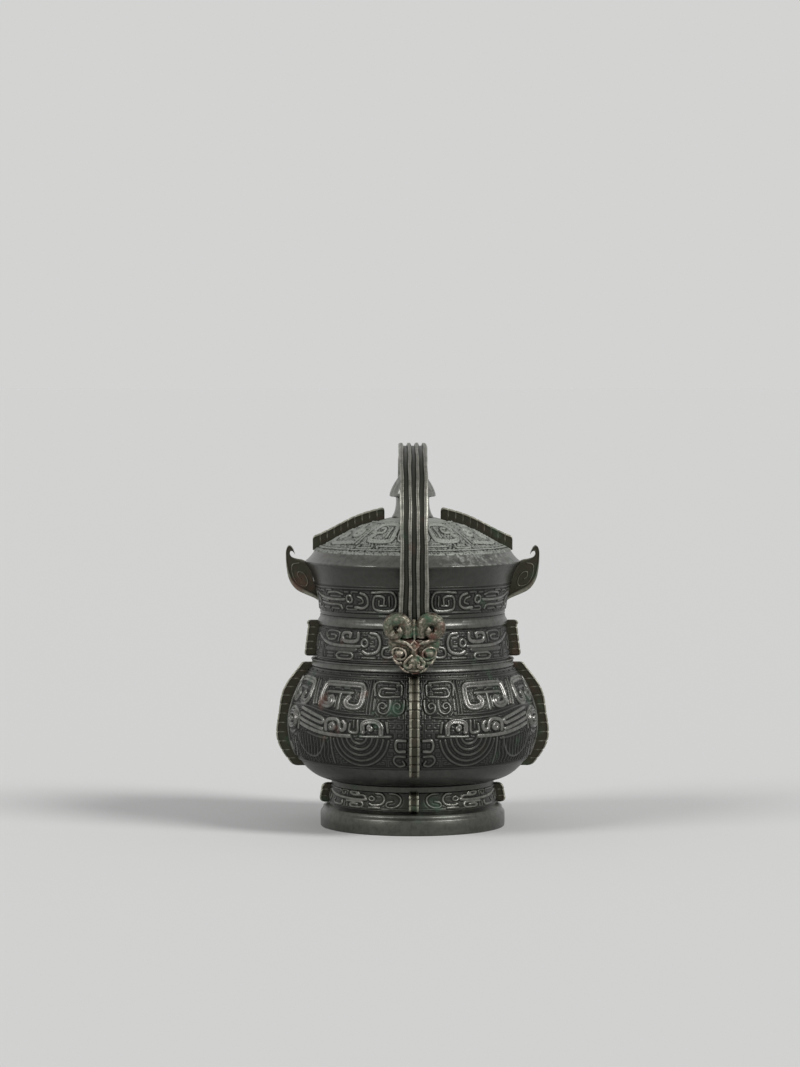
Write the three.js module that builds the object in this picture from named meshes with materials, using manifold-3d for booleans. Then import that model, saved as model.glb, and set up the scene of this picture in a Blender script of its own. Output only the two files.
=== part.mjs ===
import * as THREE from 'three';
import { mergeVertices } from 'three/addons/utils/BufferGeometryUtils.js';
import Module from 'manifold-3d';

// All sizes are in millimetres. +Z is up, the bail ends are at -Y (front) and +Y (back).

// Plan of the vessel: an oval, longer from front to back than from side to side.
const DEPTH_PER_WIDTH = 1.18;
const OVAL_SEGMENTS = 40;
const SEAT_GAP = 0.3;

// Foot ring
const FOOT_HEIGHT = 41;
const FOOT_BASE_HALF_WIDTH = 80.5;
const FOOT_BASE_HEIGHT = 13;
const FOOT_STEP = 2.5;
const FOOT_BAND_INSET = 6.5;
const FOOT_BAND_BOTTOM = 20;
const FOOT_BAND_BULGE = 1;
const WAIST_HALF_WIDTH = 71;
const FOOT_WALL = 4;

// Vessel wall
const WALL = 3.5;
const FLOOR_THICKNESS = 4.7;
const BELLY_HALF_WIDTH = 108;
const BELLY_WIDEST_HEIGHT = 49;
const BELLY_UPPER_HEIGHT = 48.6;
const BELLY_UPPER_BEND = 1.8;
const BELLY_STEPS = 6;
const INSIDE_STEPS = 4;
const RIDGE_HALF_WIDTH = 88;
const RIDGE_HEIGHT = 8.4;
const RIDGE_STEP = 3;
const NECK_HEIGHT = 28;
const NECK_TAPER = 3.6;
const COLLAR_HEIGHT = 10.4;
const COLLAR_SWELL = 1.2;
const LIP_HEIGHT = 11.5;
const LIP_WALL = 3;
const LIP_BEND = 0.7;

// Lid
const SKIRT_WALL = 4.2;
const SKIRT_PLAY = 0.7;
const SKIRT_HEIGHT = 25;
const SKIRT_SPREAD = 4.5;
const RIM_HALF_WIDTH = 93.5;
const RIM_RISE = 18.5;
const RIM_EDGE = 2.4;
const SHOULDER_RISE = 10.5;
const DOME_HALF_WIDTH = 84;
const DOME_RISE = 26.4;
const DOME_WALL = 4.2;
const KNOB_SEAT_RADIUS = 20.5;

// Knob
const KNOB_FOOT_RADIUS = 18.3;
const KNOB_STEM_RADIUS = 15;
const KNOB_STEM_HEIGHT = 18;
const KNOB_CAP_RADIUS = 19.4;
const KNOB_CAP_HEIGHT = 27;
const KNOB_RIBS = 8;
const KNOB_RIB_DEPTH = 0.045;

// Flanges
const FLANGE_THICKNESS = 8.6;
const BELLY_FLANGE_REACH = 10;
const BELLY_FLANGE_SWELL = 2.4;
const BELLY_FLANGE_START = 11;
const BELLY_FLANGE_TOP_GAP = 5.5;
const NECK_FLANGE_REACH = 10;
const NECK_FLANGE_MARGIN = 1;
const NECK_FLANGE_RISE = 4.2;
const FOOT_FLANGE_REACH = 8.2;
const FOOT_FLANGE_TOP_MARGIN = 4;
const LID_FLANGE_INNER = 24.5;
const LID_FLANGE_OVERHANG = 3.2;
const LID_FLANGE_HEIGHT = 11.5;
const NOTCH_DEPTH = 1.4;
const NOTCH_WIDTH = 1.8;
const BELLY_NOTCHES = 8;
const NECK_NOTCHES = 3;
const FOOT_NOTCHES = 1;
const LID_NOTCHES = 7;

// Lid horns
const HORN_THICKNESS = 10;
const HORN_ROOT_START = 10.5;
const HORN_REACH = 18.3;
const HORN_TIP_RISE = 14.9;

// Bail
const STRAP_WIDTH = 24;
const STRAP_THICKNESS = 5;
const STRAP_GROOVE = 2.4;
// Strap's outer face from the middle to an edge: share of the half width, share of the groove's depth
const STRAP_FACE = [[0.1, 1], [0.19, 0], [0.36, 0], [0.45, 1], [0.65, 1], [0.74, 0], [0.83, 0], [1, 0.36]];
const STRAP_FLARE = 1.12;
const STRAP_STEPS = 34;
const BAIL_SPAN_PLAY = 6.2;
const BAIL_CROWN_PLAY = 15.1;
const SHANK_RISE = 24;
const SHANK_LEAN = 1.2;
const ARCH_BULGE = 0.3;
const ARCH_BULGE_DROP = 20;
const ARCH_SPRING_RISE = 3;
const ARCH_SHAPE = [[0.965, 0.29], [0.885, 0.52], [0.76, 0.71], [0.59, 0.855], [0.39, 0.945], [0.19, 0.988]];
const PIVOT_ABOVE_RIDGE = 18;

// Bail ends
const LOOP_BAR = 2;
const LOOP_HALF_SPAN = 10;
const LUG_BAR = 2.2;
const LUG_HALF_HEIGHT = 15;
const LINK_PLAY = 0.6;
const NECK_PLAY = 2;
const HEAD_PLAY = 0.8;
const HEAD_CHIN = 23.6;
const HEAD_TOP = 20.4;
const HEAD_HALF_WIDTH = 21.5;
const HEAD_DEPTH = 12;
const CHIN_HALF_WIDTH = 9;
const JAW_HALF_WIDTH = 13;
const MUZZLE_REACH = 9;
const MUZZLE_HALF_WIDTH = 11;
const MUZZLE_HALF_HEIGHT = 10;
const BRIDGE_HALF_WIDTH = 6;
const BRIDGE_HALF_HEIGHT = 19;
const BRIDGE_DROP = 2;
const EYE_RADIUS = 5.2;
const EYE_OUT = 13.5;
const EYE_DROP = 7;
const HEAD_HORN_RING = 8.2;
const HEAD_HORN_TUBE = 5;
const HEAD_HORN_RISE = 13.2;
const HEAD_HORN_OVERHANG = 4.5;
const HEAD_HORN_STEPS = 10;
const HEAD_HORN_START = 200;
const HEAD_HORN_TURN = 270;
const CHIN_SWING_PLAY = 1.6;
const SOCKET_DEPTH = 10.4;

// Cast ornament: the main raised lines, drawn for one quarter of each band and mirrored into the others.
// A corner is [way round from the front or back, way up], measured on a flat drawing of the band.
const RELIEF_ROOT = 1.3;
const RELIEF_STEP = 18;
const RELIEF_DRAFT = 0.4;
const RELIEF_MITRE = 1.5;
const OVAL_WALK_STEPS = 60;
const BELLY_BAND_START = 16.9;
const BELLY_DRAWING = { round: 185, low: 12.5, high: 97.7 };
const BELLY_LINES = [
  { rise: 1.6, width: 5.4, corners: [
    [62, 74], [57, 69.5], [51, 71], [49.2, 78], [53, 86.5], [80, 88.6],
    [95, 87.5], [97.5, 80], [93, 71], [85, 69.6], [82, 74],
  ] },
  { rise: 1.2, width: 3, corners: [[61, 80.6], [91, 80.6]] },
  { rise: 1.2, width: 3.2, corners: [[72.4, 78], [71, 66]] },
  { rise: 1.1, width: 2.6, corners: [[117, 90.5], [110, 67]] },
  { rise: 1.6, width: 5.4, corners: [
    [133, 75], [128, 69], [121.5, 71.5], [120, 80], [127, 87.6],
    [145, 89.6], [160, 88.4], [164.6, 80], [157, 70.4], [149, 72.4],
  ] },
  { rise: 1.1, width: 2.6, corners: [[32, 76], [32, 66], [25, 61.8], [17, 65], [15.6, 75]] },
  { rise: 1.2, width: 2.6, corners: [[14, 78.4], [31, 78.4], [31, 85.4], [18, 85.4]] },
  { rise: 2.2, width: 4.2, corners: [
    [44.6, 47.6], [45, 53.4], [41, 56], [32, 55.8], [28.6, 52], [28.4, 46],
  ] },
  { rise: 2.6, width: 4.8, corners: [[37.4, 49.8], [39.4, 51.6]] },
  { rise: 1.3, width: 2.4, corners: [[50.4, 56.6], [50.4, 47.2], [58, 47.2], [58, 53.4]] },
  { rise: 1.4, width: 2.6, corners: [[84.6, 57.6], [85, 49]] },
  { rise: 2.2, width: 2.8, corners: [[81, 51.6], [75, 55.6], [69, 51.6]] },
  { rise: 2.2, width: 2.8, corners: [[69.2, 52], [75, 47.8], [80.8, 51.2]] },
  { rise: 1.6, width: 3, corners: [[127, 63.6], [112, 61.2], [98, 58.2], [90, 55.6]] },
  { rise: 1.6, width: 3, corners: [[127, 59], [112, 56.6], [98, 53.8], [89, 54]] },
  { rise: 1.5, width: 3, corners: [[128, 54.8], [112, 52], [98, 49.4], [89.6, 47.8]] },
  { rise: 1.2, width: 2.4, corners: [
    [26.4, 42], [31, 30.4], [40, 23.8], [49, 22], [58, 23.8], [67, 30.4], [71.6, 42],
  ] },
  { rise: 1.2, width: 2.4, corners: [
    [87.4, 42], [92, 31], [101, 24.8], [110, 23], [119, 24.8], [128, 31], [132.6, 42],
  ] },
  { rise: 3.2, width: 4.6, corners: [[156.6, 52.4], [151, 57.4], [139.4, 57.4], [134.6, 52.4]] },
  { rise: 3.2, width: 4.6, corners: [[134.8, 52.8], [139.4, 47.6], [151, 47.6], [156.4, 52]] },
  { rise: 3.8, width: 4.4, corners: [[143, 52.6], [147.6, 52.6]] },
  { rise: 1.7, width: 5, corners: [[176, 88], [175, 66], [173.6, 46], [175, 32], [171, 22], [164, 21.4]] },
];
const NECK_DRAWING = { round: 146, low: 0, high: 28 };
const NECK_LINES = [
  { rise: 1.2, width: 3, corners: [[40, 25.5], [33, 24], [30, 17], [33, 9.5], [42, 7.5]] },
  { rise: 1, width: 2.4, corners: [[25, 25.4], [16, 23], [13.4, 15], [18, 6.4], [27, 6]] },
  { rise: 1.1, width: 3.4, corners: [
    [51, 15.5], [80, 14.8], [100, 16.4], [122, 21.4], [130.6, 18], [127, 8.8], [120, 10],
  ] },
  { rise: 1.2, width: 3, corners: [[52.5, 19.5], [57, 21.4], [73, 21.6], [73, 26]] },
  { rise: 1.1, width: 2.6, corners: [[80, 10.8], [57, 10.4], [56, 4], [71, 3.6]] },
];
const SKIRT_BAND_MARGIN = 1.6;
const SKIRT_DRAWING = { round: 146, low: 0, high: 27 };
const SKIRT_LINES = [
  { rise: 1, width: 2.2, corners: [[27, 9.6], [27, 15.4], [36, 15.4], [36, 4.6], [18, 4.6], [18, 19]] },
  { rise: 1.1, width: 2.4, corners: [[50, 18.6], [44, 16], [43.4, 9], [49, 5.4], [58, 6]] },
  { rise: 1, width: 2.6, corners: [
    [71, 12.4], [90, 12], [112, 14], [128, 18], [134, 12], [128, 6], [120, 8],
  ] },
];
const DOME_DRAWING = { round: 144, low: 0, high: 72 };
const DOME_LINES = [
  { rise: 1.3, width: 5, corners: [
    [46, 26], [41, 18.6], [31, 18], [25, 26], [25, 40], [33, 49], [46, 50], [57, 44], [60, 33], [54, 25],
  ] },
  { rise: 2, width: 3, corners: [[92, 31], [85, 36], [78, 31]] },
  { rise: 2, width: 3, corners: [[78.4, 31.6], [85, 26], [91.6, 30.4]] },
  { rise: 1.2, width: 4.4, corners: [
    [76, 16], [92, 14], [110, 13], [124, 17], [126, 25], [116, 29], [107, 25],
  ] },
  { rise: 1.2, width: 4, corners: [[97, 33], [101, 41], [113, 46], [128, 42]] },
  { rise: 1.1, width: 2.6, corners: [[69, 47], [66, 14]] },
];

// Levels
const WAIST_Z = FOOT_HEIGHT + SEAT_GAP;
const WIDEST_Z = WAIST_Z + BELLY_WIDEST_HEIGHT;
const RIDGE_Z = WIDEST_Z + BELLY_UPPER_HEIGHT;
const NECK_Z = RIDGE_Z + RIDGE_HEIGHT;
const COLLAR_Z = NECK_Z + NECK_HEIGHT;
const LEDGE_Z = COLLAR_Z + COLLAR_HEIGHT;
const LIP_Z = LEDGE_Z + LIP_HEIGHT;
const SKIRT_Z = LEDGE_Z + SEAT_GAP;
const FLARE_Z = SKIRT_Z + SKIRT_HEIGHT;
const RIM_Z = FLARE_Z + RIM_RISE;
const DOME_Z = RIM_Z + RIM_EDGE + SHOULDER_RISE;
const DOME_TOP_Z = DOME_Z + DOME_RISE;
const KNOB_Z = DOME_TOP_Z + SEAT_GAP;
const KNOB_TOP_Z = KNOB_Z + KNOB_STEM_HEIGHT + KNOB_CAP_HEIGHT;
const PIVOT_Z = NECK_Z + PIVOT_ABOVE_RIDGE;
const CROWN_Z = KNOB_TOP_Z + BAIL_CROWN_PLAY + STRAP_THICKNESS / 2;

// Half-widths that follow from the ones above
const NECK_BOTTOM = RIDGE_HALF_WIDTH - RIDGE_STEP;
const NECK_TOP = NECK_BOTTOM - NECK_TAPER;
const LEDGE_HALF_WIDTH = NECK_TOP - COLLAR_SWELL / 2;
const LIP_OUTER = LEDGE_HALF_WIDTH - SKIRT_WALL - SKIRT_PLAY;
const LIP_INNER = LIP_OUTER - LIP_WALL;
const SKIRT_INNER = LIP_OUTER + SKIRT_PLAY;
const SKIRT_TOP = LEDGE_HALF_WIDTH + SKIRT_SPREAD;

const wasm = await Module();
wasm.setup();

// Welded copy of a geometry without the zero-size triangles that a turned shape has on its axis
function weld(geometry) {
  const bare = geometry.clone();
  bare.deleteAttribute('normal');
  bare.deleteAttribute('uv');
  const welded = mergeVertices(bare, 1e-4);
  const kept = [];
  for (let i = 0; i < welded.index.count; i += 3) {
    const a = welded.index.getX(i);
    const b = welded.index.getX(i + 1);
    const c = welded.index.getX(i + 2);
    if (a !== b && b !== c && c !== a) kept.push(a, b, c);
  }
  welded.setIndex(kept);
  return welded;
}

function toSolid(geometry) {
  const welded = weld(geometry);
  return new wasm.Manifold(new wasm.Mesh({
    numProp: 3,
    vertProperties: new Float32Array(welded.attributes.position.array),
    triVerts: new Uint32Array(welded.index.array),
  }));
}

function toGeometry(solid) {
  const mesh = solid.getMesh();
  const geometry = new THREE.BufferGeometry();
  geometry.setAttribute('position', new THREE.BufferAttribute(new Float32Array(mesh.vertProperties), 3));
  geometry.setIndex(new THREE.BufferAttribute(new Uint32Array(mesh.triVerts), 1));
  geometry.computeVertexNormals();
  return geometry;
}

// Turned shape from a profile of [half-width, height] pairs, stretched into an oval along Y
function turned(profile, stretch) {
  const points = profile.map(([r, z]) => new THREE.Vector2(r, z));
  const geometry = new THREE.LatheGeometry(points, OVAL_SEGMENTS);
  geometry.rotateX(Math.PI / 2);
  geometry.scale(1, stretch, 1);
  return geometry;
}

// Quarter of an ellipse in profile, from [r0, z0] upright end to [r1, z1] widest point
function lowerCurve(r0, r1, z0, z1, steps) {
  const points = [];
  for (let i = 0; i <= steps; i += 1) {
    const angle = (Math.PI / 2) * (i / steps);
    points.push([r0 + (r1 - r0) * Math.sin(angle), z1 - (z1 - z0) * Math.cos(angle)]);
  }
  return points;
}

function upperCurve(r0, r1, z0, z1, steps) {
  const points = [];
  for (let i = 1; i <= steps; i += 1) {
    const share = i / steps;
    points.push([r0 - (r0 - r1) * share ** BELLY_UPPER_BEND, z0 + (z1 - z0) * share]);
  }
  return points;
}

// Outer profiles, from bottom to top
const footOuter = [
  [FOOT_BASE_HALF_WIDTH, 0],
  [FOOT_BASE_HALF_WIDTH, FOOT_BASE_HEIGHT],
  [FOOT_BASE_HALF_WIDTH - FOOT_STEP, FOOT_BASE_HEIGHT + FOOT_STEP],
  [FOOT_BASE_HALF_WIDTH - FOOT_STEP, FOOT_BAND_BOTTOM - FOOT_STEP],
  [FOOT_BASE_HALF_WIDTH - FOOT_BAND_INSET, FOOT_BAND_BOTTOM],
  [WAIST_HALF_WIDTH + FOOT_BAND_BULGE, (FOOT_BAND_BOTTOM + FOOT_HEIGHT) / 2],
  [WAIST_HALF_WIDTH, FOOT_HEIGHT],
];
const vesselOuter = [
  ...lowerCurve(WAIST_HALF_WIDTH, BELLY_HALF_WIDTH, WAIST_Z, WIDEST_Z, BELLY_STEPS),
  ...upperCurve(BELLY_HALF_WIDTH, RIDGE_HALF_WIDTH, WIDEST_Z, RIDGE_Z, BELLY_STEPS),
  [RIDGE_HALF_WIDTH, NECK_Z - RIDGE_STEP / 3],
  [NECK_BOTTOM, NECK_Z],
  [NECK_TOP, COLLAR_Z],
  [NECK_TOP + COLLAR_SWELL, COLLAR_Z + COLLAR_HEIGHT * 0.2],
  [NECK_TOP + COLLAR_SWELL, COLLAR_Z + COLLAR_HEIGHT * 0.5],
  [LEDGE_HALF_WIDTH, COLLAR_Z + COLLAR_HEIGHT * 0.72],
  [LEDGE_HALF_WIDTH, LEDGE_Z],
];
const skirtOuter = [
  [LEDGE_HALF_WIDTH, SKIRT_Z],
  [LEDGE_HALF_WIDTH + SKIRT_SPREAD * 0.18, SKIRT_Z + SKIRT_HEIGHT * 0.36],
  [LEDGE_HALF_WIDTH + SKIRT_SPREAD * 0.5, SKIRT_Z + SKIRT_HEIGHT * 0.7],
  [SKIRT_TOP, FLARE_Z],
  [SKIRT_TOP + (RIM_HALF_WIDTH - SKIRT_TOP) * 0.3, FLARE_Z + RIM_RISE * 0.45],
  [SKIRT_TOP + (RIM_HALF_WIDTH - SKIRT_TOP) * 0.7, FLARE_Z + RIM_RISE * 0.8],
  [RIM_HALF_WIDTH, RIM_Z],
];
const DOME_SHAPE = [[0.13, 0.2], [0.25, 0.41], [0.38, 0.62], [0.52, 0.795], [0.66, 0.92]];
const lidTopOuter = [
  [RIM_HALF_WIDTH, RIM_Z + RIM_EDGE],
  [RIM_HALF_WIDTH - (RIM_HALF_WIDTH - DOME_HALF_WIDTH) * 0.55, RIM_Z + RIM_EDGE + SHOULDER_RISE * 0.4],
  [DOME_HALF_WIDTH, DOME_Z],
  ...DOME_SHAPE.map(([inset, rise]) => [DOME_HALF_WIDTH * (1 - inset), DOME_Z + DOME_RISE * rise]),
  [KNOB_SEAT_RADIUS, DOME_TOP_Z],
];
const DOME_EDGE_INDEX = 2;

// Half-width of a profile at one height, and the profile between two heights
function halfWidthAt(profile, z) {
  for (let i = 1; i < profile.length; i += 1) {
    const [r0, z0] = profile[i - 1];
    const [r1, z1] = profile[i];
    if (z0 <= z && z <= z1 && z1 > z0) return r0 + ((r1 - r0) * (z - z0)) / (z1 - z0);
  }
  throw new Error('height outside the profile');
}

function profileBetween(profile, low, high) {
  const inside = profile.filter(([, z]) => z > low + 0.5 && z < high - 0.5);
  return [[halfWidthAt(profile, low), low], ...inside, [halfWidthAt(profile, high), high]];
}

// Way walked round a quarter of an oval of half-width 1, from the front or back to the side
const ovalWalk = [0];
for (let i = 1; i <= OVAL_WALK_STEPS; i += 1) {
  const turn = (Math.PI / 2) / OVAL_WALK_STEPS;
  const middle = (i - 0.5) * turn;
  ovalWalk.push(ovalWalk[i - 1] + turn * Math.hypot(Math.cos(middle), DEPTH_PER_WIDTH * Math.sin(middle)));
}

function ovalAngle(share) {
  const way = share * ovalWalk[OVAL_WALK_STEPS];
  const step = Math.max(1, ovalWalk.findIndex((walked) => walked >= way));
  const part = (way - ovalWalk[step - 1]) / (ovalWalk[step] - ovalWalk[step - 1]);
  return ((step - 1 + part) / OVAL_WALK_STEPS) * (Math.PI / 2);
}

// Point and outward direction on a band, at shares of its quarter round and of its profile up
function bandPlace(profile, around, up, quarter) {
  const lengths = profile.slice(1).map(([r, z], i) => Math.hypot(r - profile[i][0], z - profile[i][1]));
  let left = up * lengths.reduce((sum, length) => sum + length, 0);
  let index = 0;
  while (index < lengths.length - 1 && left > lengths[index]) {
    left -= lengths[index];
    index += 1;
  }
  const [r0, z0] = profile[index];
  const [r1, z1] = profile[index + 1];
  const part = left / lengths[index];
  const r = r0 + (r1 - r0) * part;
  const angle = ovalAngle(around);
  const at = new THREE.Vector3(
    quarter.x * r * Math.sin(angle),
    quarter.y * r * DEPTH_PER_WIDTH * Math.cos(angle),
    z0 + (z1 - z0) * part,
  );
  const plan = new THREE.Vector2(quarter.x * DEPTH_PER_WIDTH * Math.sin(angle), quarter.y * Math.cos(angle));
  plan.setLength(z1 - z0);
  const out = new THREE.Vector3(plan.x, plan.y, r0 - r1).normalize();
  return { at, out };
}

// One raised line of the ornament as a low bar with sloping sides, rooted in the wall
function castLine(profile, drawing, line, quarter) {
  const corners = line.corners.map(([around, up]) => new THREE.Vector2(around, up));
  const drawn = [corners[0]];
  for (let i = 1; i < corners.length; i += 1) {
    const cuts = Math.ceil(corners[i].distanceTo(corners[i - 1]) / RELIEF_STEP);
    for (let cut = 1; cut <= cuts; cut += 1) drawn.push(corners[i - 1].clone().lerp(corners[i], cut / cuts));
  }
  const height = drawing.high - drawing.low;
  const places = drawn.map(({ x, y }) => {
    const up = (y - drawing.low) / height;
    return bandPlace(profile, x / drawing.round, up, quarter);
  });
  const section = [[1, line.rise, -1], [-1, line.rise, -1], [-1, -RELIEF_ROOT, 1], [1, -RELIEF_ROOT, 1]];
  const points = [];
  const faces = [];
  places.forEach(({ at, out }, i) => {
    const before = places[Math.max(i - 1, 0)].at;
    const after = places[Math.min(i + 1, places.length - 1)].at;
    const side = new THREE.Vector3().crossVectors(out, after.clone().sub(before)).normalize();
    const step = i > 0 ? at.clone().sub(before).normalize() : after.clone().sub(at).normalize();
    const square = new THREE.Vector3().crossVectors(out, step).normalize();
    const mitre = Math.min(RELIEF_MITRE, 1 / Math.max(side.dot(square), 1 / RELIEF_MITRE));
    for (const [hand, lift, draft] of section) {
      const half = (line.width / 2 + draft * RELIEF_DRAFT) * mitre * hand;
      points.push(at.clone().addScaledVector(side, half).addScaledVector(out, lift));
    }
  });
  const quad = (a, b, c, d) => faces.push(a, c, b, a, d, c);
  quad(0, 1, 2, 3);
  for (let i = 1; i < places.length; i += 1) {
    const [now, last] = [4 * i, 4 * (i - 1)];
    for (let j = 0; j < 4; j += 1) quad(last + j, now + j, now + ((j + 1) % 4), last + ((j + 1) % 4));
  }
  const end = 4 * (places.length - 1);
  quad(end + 3, end + 2, end + 1, end);
  const geometry = new THREE.BufferGeometry().setFromPoints(points);
  geometry.setIndex(faces);
  return geometry;
}

// A turned solid with the raised lines of its bands cast on it
function ornamented(plain, bands) {
  const pieces = [toSolid(plain)];
  for (const { profile, drawing, lines } of bands) {
    for (const line of lines) {
      for (const quarter of [{ x: 1, y: -1 }, { x: -1, y: -1 }, { x: 1, y: 1 }, { x: -1, y: 1 }]) {
        pieces.push(toSolid(castLine(profile, drawing, line, quarter)));
      }
    }
  }
  return toGeometry(wasm.Manifold.union(pieces));
}

// Vessel wall: one turned shell with floor, belly, neck, collar and inner lip
function vesselWall() {
  const floorZ = WAIST_Z + FLOOR_THICKNESS;
  const floorHalf = WAIST_HALF_WIDTH - FLOOR_THICKNESS;
  const bellyHalf = BELLY_HALF_WIDTH - WALL;
  const inner = [
    ...lowerCurve(floorHalf, bellyHalf, floorZ, WIDEST_Z, INSIDE_STEPS),
    ...upperCurve(bellyHalf, RIDGE_HALF_WIDTH - WALL, WIDEST_Z, RIDGE_Z, INSIDE_STEPS),
    [NECK_BOTTOM - WALL, NECK_Z],
    [NECK_TOP - WALL, COLLAR_Z],
    [LIP_INNER, LEDGE_Z - LIP_WALL],
    [LIP_INNER, LIP_Z - LIP_BEND],
    [LIP_INNER + LIP_BEND, LIP_Z],
  ];
  const profile = [
    [0, WAIST_Z],
    ...vesselOuter,
    [LIP_OUTER, LEDGE_Z],
    [LIP_OUTER, LIP_Z - LIP_BEND],
    [LIP_OUTER - LIP_BEND, LIP_Z],
    ...inner.reverse(),
    [0, floorZ],
  ];
  const belly = profileBetween(vesselOuter, WAIST_Z + BELLY_BAND_START, RIDGE_Z);
  const neck = [[NECK_BOTTOM, NECK_Z], [NECK_TOP, COLLAR_Z]];
  return ornamented(turned(profile, DEPTH_PER_WIDTH), [
    { profile: belly, drawing: BELLY_DRAWING, lines: BELLY_LINES },
    { profile: neck, drawing: NECK_DRAWING, lines: NECK_LINES },
  ]);
}

// Foot: a stepped ring, open below
function footRing() {
  const profile = [
    ...footOuter,
    [WAIST_HALF_WIDTH - FOOT_WALL, FOOT_HEIGHT],
    [WAIST_HALF_WIDTH + FOOT_BAND_BULGE - FOOT_WALL, (FOOT_BAND_BOTTOM + FOOT_HEIGHT) / 2],
    [FOOT_BASE_HALF_WIDTH - FOOT_BAND_INSET - FOOT_WALL, FOOT_BAND_BOTTOM],
    [FOOT_BASE_HALF_WIDTH - FOOT_WALL, FOOT_BASE_HEIGHT * 0.6],
    [FOOT_BASE_HALF_WIDTH - FOOT_WALL, 0],
    footOuter[0],
  ];
  return turned(profile, DEPTH_PER_WIDTH);
}

// Lid: skirt, flared rim, sloping shoulder and dome with a flat seat for the knob
function lidShell() {
  const inner = [
    [SKIRT_INNER, SKIRT_Z],
    [SKIRT_INNER + SKIRT_SPREAD * 0.18, SKIRT_Z + SKIRT_HEIGHT * 0.36],
    [SKIRT_TOP - SKIRT_WALL, FLARE_Z],
    [DOME_HALF_WIDTH - DOME_WALL, RIM_Z + RIM_EDGE],
    ...lidTopOuter.slice(DOME_EDGE_INDEX + 1).map(([r, z]) => [r - DOME_WALL / 3, z - DOME_WALL]),
    [0, DOME_TOP_Z - DOME_WALL],
  ];
  const down = inner.reverse();
  const profile = [...down, ...skirtOuter, ...lidTopOuter, [0, DOME_TOP_Z]];
  const skirt = profileBetween(skirtOuter, SKIRT_Z + SKIRT_BAND_MARGIN, FLARE_Z + 2 * SKIRT_BAND_MARGIN);
  return ornamented(turned(profile, DEPTH_PER_WIDTH), [
    { profile: skirt, drawing: SKIRT_DRAWING, lines: SKIRT_LINES },
    { profile: lidTopOuter.slice(DOME_EDGE_INDEX), drawing: DOME_DRAWING, lines: DOME_LINES },
  ]);
}

// Knob: flaring stem under a fluted bud
function lidKnob() {
  const capZ = KNOB_Z + KNOB_STEM_HEIGHT;
  const bud = [[1, 0.05], [0.98, 0.16], [0.85, 0.37], [0.63, 0.63], [0.43, 0.85], [0.2, 0.97]];
  const profile = [
    [0, KNOB_Z],
    [KNOB_FOOT_RADIUS, KNOB_Z],
    [(KNOB_FOOT_RADIUS + KNOB_STEM_RADIUS) / 2, KNOB_Z + KNOB_STEM_HEIGHT * 0.2],
    [KNOB_STEM_RADIUS, KNOB_Z + KNOB_STEM_HEIGHT * 0.5],
    [KNOB_STEM_RADIUS, capZ],
    ...bud.map(([r, rise]) => [KNOB_CAP_RADIUS * r, capZ + KNOB_CAP_HEIGHT * rise]),
    [0, KNOB_TOP_Z],
  ];
  const geometry = turned(profile, 1);
  const position = geometry.attributes.position;
  for (let i = 0; i < position.count; i += 1) {
    if (position.getZ(i) > capZ + 0.1) {
      const angle = Math.atan2(position.getY(i), position.getX(i));
      const swell = 1 + KNOB_RIB_DEPTH * Math.cos(KNOB_RIBS * angle);
      position.setXY(i, position.getX(i) * swell, position.getY(i) * swell);
    }
  }
  return geometry;
}

// Boxes that cut square notches into an outer edge given as [distance out, height] pairs
function notchBoxes(edge, count, thickness) {
  const line = new THREE.CurvePath();
  const corners = edge.map(([r, z]) => new THREE.Vector2(r, z));
  for (let i = 1; i < corners.length; i += 1) line.add(new THREE.LineCurve(corners[i - 1], corners[i]));
  const boxes = [];
  for (let i = 1; i <= count; i += 1) {
    const share = i / (count + 1);
    const at = line.getPointAt(share);
    const along = line.getTangentAt(share);
    const box = new THREE.BoxGeometry(2 * NOTCH_DEPTH, NOTCH_WIDTH, 2 * thickness);
    box.rotateZ(Math.atan2(along.y, along.x) - Math.PI / 2);
    box.translate(at.x, at.y, 0);
    boxes.push(box);
  }
  return boxes;
}

// Flat plate standing out from the vessel at one side. The outline is in [distance out, height].
function plate(outline, thickness, turn, cutters) {
  const shape = new THREE.Shape(outline.map(([r, z]) => new THREE.Vector2(r, z)));
  const slab = new THREE.ExtrudeGeometry(shape, { depth: thickness, bevelEnabled: false });
  slab.translate(0, 0, -thickness / 2);
  let solid = toSolid(slab);
  for (const cutter of cutters) solid = solid.subtract(toSolid(cutter));
  const geometry = toGeometry(solid);
  geometry.rotateX(Math.PI / 2);
  geometry.rotateZ(turn);
  return geometry;
}

// Sides of the vessel: turn about Z and how far the oval stretches that way
const SIDES = {
  right: { turn: 0, stretch: 1 },
  back: { turn: Math.PI / 2, stretch: DEPTH_PER_WIDTH },
  left: { turn: Math.PI, stretch: 1 },
  front: { turn: -Math.PI / 2, stretch: DEPTH_PER_WIDTH },
};

// Upright flange whose inner edge keeps the seat gap to a wall profile.
// The swell makes it fuller near both ends.
function wallFlange(profile, low, high, reach, swell, notches, side) {
  const { turn, stretch } = SIDES[side];
  const wall = profileBetween(profile, low, high).map(([r, z]) => [r * stretch, z]);
  const inner = wall.map(([r, z]) => [r + SEAT_GAP * 1.5, z]);
  const outer = wall.map(([r, z]) => {
    const share = (z - low) / (high - low);
    return [r + reach + swell * Math.sin(2 * Math.PI * share) ** 2, z];
  });
  const cutters = notchBoxes(outer, notches, FLANGE_THICKNESS);
  return plate([...outer, ...inner.reverse()], FLANGE_THICKNESS, turn, cutters);
}

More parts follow.
